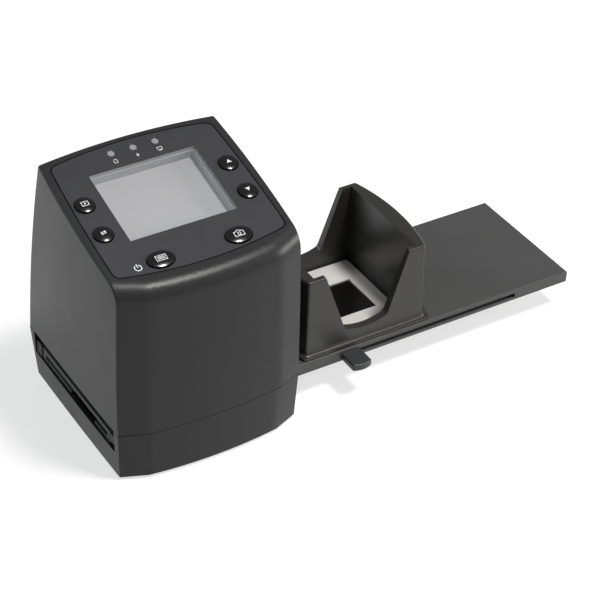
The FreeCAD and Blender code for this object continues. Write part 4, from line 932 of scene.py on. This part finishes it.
@dataclass
class Prints:
    """The white marks printed on the buttons and on the fascia.

    Attributes:
        panel: The plane of the tilted top.
        nodes: The CAD nodes' objects by name.
        thickness: How thick the print is.
        lift: The gap under it, which keeps it clear of the surface.
        longest_edge: The longest edge that a mark keeps.
        divide_rounds: How many times longer edges are divided.
        ray_height: How far above the panel the search for the surface starts.
        crest_depth: How deep the top of a button reaches, for finding its middle.
        lamp_inset: How far the outer lamp marks stand in from the pipes' ends.
        lamp_label_up: How far up the panel the lamp marks stand.
        power_place: The middle of the power mark on the panel.
        button_glyphs: The mark of each button's node.
    """

    panel: Panel
    nodes: dict[str, bpy.types.Object]
    thickness: float = 0.03 * MM
    lift: float = 0.01 * MM
    longest_edge: float = 0.45 * MM
    divide_rounds: int = 3
    ray_height: float = 10 * MM
    crest_depth: float = 0.4 * MM
    lamp_inset: float = 2.2 * MM
    lamp_label_up: float = 22.7 * MM
    power_place: Point = (-27.9 * MM, -32.6 * MM)
    button_glyphs: dict[str, Glyph] = field(
        default_factory=lambda: {
            "playback_button": play_glyph(),
            "flip_button": flip_glyph(),
            "up_button": arrow_glyph(True),
            "down_button": arrow_glyph(False),
            "menu_button": menu_glyph(),
            "capture_button": camera_glyph(),
        }
    )

    def build(self) -> None:
        """Print every mark."""
        for node, glyph in self.button_glyphs.items():
            place = self.panel.crest_of(self.nodes[node], self.crest_depth)
            body = node.replace("_button", "_key")
            self._print(node.replace("_button", "_mark"), glyph, place, node, body)
        self._print("power_mark", power_glyph(), self.power_place, "fascia_panel", "housing")
        low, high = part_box("lamp_pipes")
        spacing = (high.x - low.x) / 2 - self.lamp_inset
        lamps = (
            ("card_mark", card_glyph(), -spacing),
            ("charge_mark", bolt_glyph(), 0.0),
            ("monitor_mark", monitor_glyph(), spacing),
        )
        for name, glyph, across in lamps:
            place = (across, self.lamp_label_up)
            self._print(name, glyph, place, "fascia_panel", "housing")

    def _print(self, name: str, glyph: Glyph, place: Point, node: str, body: str) -> None:
        """Lay one mark on a node's surface.

        Args:
            name: The new piece's name.
            glyph: The mark.
            place: Its middle on the panel, in metres.
            node: The CAD node that carries it.
            body: The body that it rides on.
        """
        shape = bmesh.new()
        for face in glyph.faces:
            corners = [shape.verts.new((x * MM, y * MM, 0.0)) for x, y in face]
            shape.faces.new(corners)
        self._refine(shape)
        surface = self._surface_of(node)
        for vertex in shape.verts:
            across, up = place[0] + vertex.co.x, place[1] + vertex.co.y
            start = self.panel.at(across, up, self.ray_height)
            hit = surface.ray_cast(start, -self.panel.normal)[0]
            vertex.co = (hit if hit is not None else start) + self.panel.normal * self.lift
        grown = bmesh.ops.extrude_face_region(shape, geom=shape.faces[:])
        moved = [item for item in grown["geom"] if isinstance(item, bmesh.types.BMVert)]
        bmesh.ops.translate(shape, verts=moved, vec=self.panel.normal * self.thickness)
        bmesh.ops.recalc_face_normals(shape, faces=shape.faces[:])
        add_piece(name, shape, Palette.PRINT, body)

    def _refine(self, shape: bmesh.types.BMesh) -> None:
        """Divide long edges so that a mark can follow a dome.

        Args:
            shape: The flat mark.
        """
        bmesh.ops.triangulate(shape, faces=shape.faces[:])
        for _ in range(self.divide_rounds):
            long_edges = [edge for edge in shape.edges if edge.calc_length() > self.longest_edge]
            if not long_edges:
                return
            bmesh.ops.subdivide_edges(shape, edges=long_edges, cuts=1)
            bmesh.ops.triangulate(shape, faces=shape.faces[:])

    def _surface_of(self, node: str) -> BVHTree:
        """A ray target of a CAD node's own mesh."""
        mesh = self.nodes[node].data
        return BVHTree.FromPolygons(
            [vertex.co for vertex in mesh.vertices], [polygon.vertices for polygon in mesh.polygons]
        )


@dataclass(frozen=True)
class ChannelMouth:
    """The ends of the rails and of the feeder, as they show in the channel's left mouth.

    Attributes:
        rail_reach: How far the rails go on past the film guide.
        feeder_reach: How far the feeder goes on past its tray.
        side_gap: The gap between the feeder and each rail.
        front_rail_lift: How far above the tray's underside the front rail starts.
        floor_thickness: The thickness of the feeder's floor.
        wall_thickness: The thickness of its side walls.
        notch_start: The distance from its front to the floor's notch.
        notch_width: The width of that notch.
        softening: How crisp edges are rounded.
    """

    rail_reach: float = 3.9 * MM
    feeder_reach: float = 4.8 * MM
    side_gap: float = 0.3 * MM
    front_rail_lift: float = 2.2 * MM
    floor_thickness: float = 1.3 * MM
    wall_thickness: float = 3.0 * MM
    notch_start: float = 14.6 * MM
    notch_width: float = 22.5 * MM
    softening: EdgeSoftening = field(default_factory=EdgeSoftening)

    def build(self) -> None:
        """Add both pieces, sized by the CAD nodes that they carry on."""
        guide_low, guide_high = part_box("film_guide")
        tray_low, tray_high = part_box("feeder_tray")
        plate_low, plate_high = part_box("slide_frame")
        rail_start = guide_low.x - self.rail_reach
        rails = [
            (
                Vector((rail_start, guide_low.y, tray_low.z + self.front_rail_lift)),
                Vector((guide_low.x, tray_low.y - self.side_gap, guide_high.z)),
            ),
            (
                Vector((rail_start, tray_high.y + self.side_gap, tray_low.z)),
                Vector((guide_low.x, guide_high.y, guide_high.z)),
            ),
        ]
        self._add("rail_ends", rails, Palette.GUIDE, "housing")
        start = tray_low.x - self.feeder_reach
        notch_front = tray_low.y + self.notch_start
        notch_back = notch_front + self.notch_width
        floor_top = tray_low.z + self.floor_thickness
        walls = (
            (tray_low.y, tray_high.y, plate_low.z, plate_high.z),
            (tray_low.y, notch_front, tray_low.z, floor_top),
            (notch_back, tray_high.y, tray_low.z, floor_top),
            (tray_low.y, tray_low.y + self.wall_thickness, floor_top, plate_low.z),
            (tray_high.y - self.wall_thickness, tray_high.y, floor_top, plate_low.z),
        )
        ends = [
            (Vector((start, front, low)), Vector((tray_low.x, back, high)))
            for front, back, low, high in walls
        ]
        self._add("feeder_end", ends, Palette.TRAY, "feeder")

    def _add(self, name: str, blocks: list[Block], finish: Finish, body: str) -> None:
        """Make one piece out of plain blocks.

        Args:
            name: The piece's name.
            blocks: The low and high corner of each block.
            finish: Its finish.
            body: The body that it rides on.
        """
        shape = bmesh.new()
        for low, high in blocks:
            place = Matrix.Translation((low + high) / 2) @ Matrix.Diagonal((*(high - low), 1.0))
            bmesh.ops.create_cube(shape, size=1.0, matrix=place)
        item = add_piece(name, shape, finish, body)
        item.data.shade_smooth()
        self.softening.apply(item)


@dataclass(frozen=True)
class PhotoCamera:
    """The photograph's camera, solved from the object's measured points.

    Attributes:
        place: Where it stands in the row frame.
        azimuth: How far it is turned about the vertical.
        elevation: How far it looks down.
        roll: How far it is tilted sideways.
        focal_pixels: Its focal length, in pixels of the photograph.
        centre_pixels: The pixel that its axis passes through.
        sensor_width: The width of its sensor, in millimetres.
        nearest: The nearest distance that it shows.
        farthest: The farthest distance that it shows.
    """

    place: Place = (-305.5 * MM, -585.5 * MM, 546.3 * MM)
    azimuth: float = math.radians(-30.58)
    elevation: float = math.radians(36.69)
    roll: float = math.radians(1.12)
    focal_pixels: float = 1951.7
    centre_pixels: tuple[float, float] = (245.9, 296.5)
    sensor_width: float = 36.0
    nearest: float = 0.05
    farthest: float = 20.0

    def build(self) -> None:
        """Make the camera and set it as the scene's own."""
        data = bpy.data.cameras.new("camera")
        data.sensor_fit = "HORIZONTAL"
        data.sensor_width = self.sensor_width
        data.lens = self.focal_pixels / IMAGE_SIZE * self.sensor_width
        half = IMAGE_SIZE / 2
        data.shift_x = (half - self.centre_pixels[0]) / IMAGE_SIZE
        data.shift_y = (self.centre_pixels[1] - half) / IMAGE_SIZE
        data.clip_start = self.nearest
        data.clip_end = self.farthest
        look = Vector(
            (
                -math.sin(self.azimuth) * math.cos(self.elevation),
                math.cos(self.azimuth) * math.cos(self.elevation),
                -math.sin(self.elevation),
            )
        )
        right = look.cross(Vector((0.0, 0.0, 1.0))).normalized()
        up = right.cross(look)
        turned_right = right * math.cos(self.roll) + up * math.sin(self.roll)
        turned_up = up * math.cos(self.roll) - right * math.sin(self.roll)
        camera = bpy.data.objects.new("camera", data)
        axes = Matrix((turned_right, turned_up, -look)).transposed().to_4x4()
        camera.matrix_world = Matrix.Translation(self.place) @ axes
        bpy.context.scene.collection.objects.link(camera)
        bpy.context.scene.camera = camera


@dataclass(frozen=True)
class SoftBox:
    """One square studio lamp with a diffuser.

    Attributes:
        name: The lamp's name.
        place: Where it hangs in the row frame.
        side: The side of its square, in metres.
        power: Its power, in watts.
        colour: The colour of its light.
    """

    name: str
    place: Place
    side: float
    power: float
    colour: Colour = (1.0, 1.0, 1.0)

    def build(self, target: Vector) -> None:
        """Hang the lamp.

        Args:
            target: The point that it is turned to.
        """
        data = bpy.data.lights.new(self.name, "AREA")
        data.shape = "SQUARE"
        data.size = self.side
        data.energy = self.power
        data.color = self.colour
        lamp = bpy.data.objects.new(self.name, data)
        lamp.location = self.place
        lamp.rotation_mode = "QUATERNION"
        lamp.rotation_quaternion = (target - Vector(self.place)).to_track_quat("-Z", "Y")
        bpy.context.scene.collection.objects.link(lamp)


@dataclass
class Studio:
    """The pale floor, the lamps and the world.

    Attributes:
        floor_side: The side of the square floor, in metres.
        floor_colour: The floor's own colour, which the lamps light.
        floor_glow: The glow that lifts the floor towards white.
        floor_roughness: The floor's roughness.
        floor_specular: The strength of the floor's plain reflections.
        world_strength: The strength of the even light from all sides.
        lamps: The lamps about the scanner.
    """

    floor_side: float = 12.0
    floor_colour: Colour = (0.42, 0.42, 0.42)
    floor_glow: float = 0.65
    floor_roughness: float = 0.9
    floor_specular: float = 0.1
    world_strength: float = 0.2
    lamps: tuple[SoftBox, ...] = (
        SoftBox("key_lamp", (0.42, -0.5, 1.55), 0.3, 22.0, (1.0, 0.99, 0.97)),
        SoftBox("right_lamp", (1.6, -0.8, 0.55), 0.6, 20.0, (1.0, 0.99, 0.97)),
        SoftBox("left_lamp", (-1.1, 1.0, 0.85), 0.6, 6.0, (0.84, 0.92, 1.0)),
    )

    def build(self, target: Vector) -> None:
        """Set up the floor, the lamps and the world.

        Args:
            target: The point that the lamps are turned to.
        """
        self._build_floor()
        for lamp in self.lamps:
            lamp.build(target)
        self._build_world()
        bpy.context.scene.view_settings.view_transform = "Standard"

    def _build_floor(self) -> None:
        """Lay the floor under the feet."""
        half = self.floor_side / 2
        mesh = bpy.data.meshes.new("floor")
        corners = [(-half, -half, 0.0), (half, -half, 0.0), (half, half, 0.0), (-half, half, 0.0)]
        mesh.from_pydata(corners, [], [(0, 1, 2, 3)])
        floor = bpy.data.objects.new("floor", mesh)
        bpy.context.scene.collection.objects.link(floor)
        material = bpy.data.materials.new("floor_paper")
        material.use_nodes = True
        shader = material.node_tree.nodes["Principled BSDF"]
        shader.inputs["Base Color"].default_value = (*self.floor_colour, 1.0)
        shader.inputs["Roughness"].default_value = self.floor_roughness
        shader.inputs["Specular IOR Level"].default_value = self.floor_specular
        shader.inputs["Emission Color"].default_value = WHITE_LIGHT
        self._link_glow(material.node_tree, shader.inputs["Emission Strength"])
        mesh.materials.append(material)
        floor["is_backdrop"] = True

    def _link_glow(self, tree: bpy.types.NodeTree, strength: bpy.types.NodeSocket) -> None:
        """Let the floor glow for what the camera sees, also in metal and through glass.

        Args:
            tree: The floor's node tree.
            strength: The socket that takes the glow.
        """
        path = add_node(tree, NodeKind.LIGHT_PATH)
        seen = path.outputs["Is Camera Ray"]
        for name in ("Is Glossy Ray", "Is Transmission Ray"):
            seen = calculate(tree, Operation.LARGER, seen, path.outputs[name])
        glow = calculate(tree, Operation.PRODUCT, seen, self.floor_glow)
        tree.links.new(glow, strength)

    def _build_world(self) -> None:
        """Light the room evenly."""
        world = bpy.data.worlds.new("studio")
        world.use_nodes = True
        background = world.node_tree.nodes["Background"]
        background.inputs["Color"].default_value = WHITE_LIGHT
        background.inputs["Strength"].default_value = self.world_strength
        bpy.context.scene.world = world


def main() -> None:
    """Load the frame, dress it, and set the studio and the camera."""
    logging.basicConfig(level=logging.INFO, format="%(message)s")
    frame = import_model()
    cad_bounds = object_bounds()
    nodes = frame["nodes"]
    panel = Panel.from_frame(frame)
    Prints(panel, nodes).build()
    CadPieces(nodes, panel).dress()
    ChannelMouth().build()
    low, high = cad_bounds
    Studio().build((low + high) / 2)
    PhotoCamera().build()


if __name__ == "__main__":
    main()
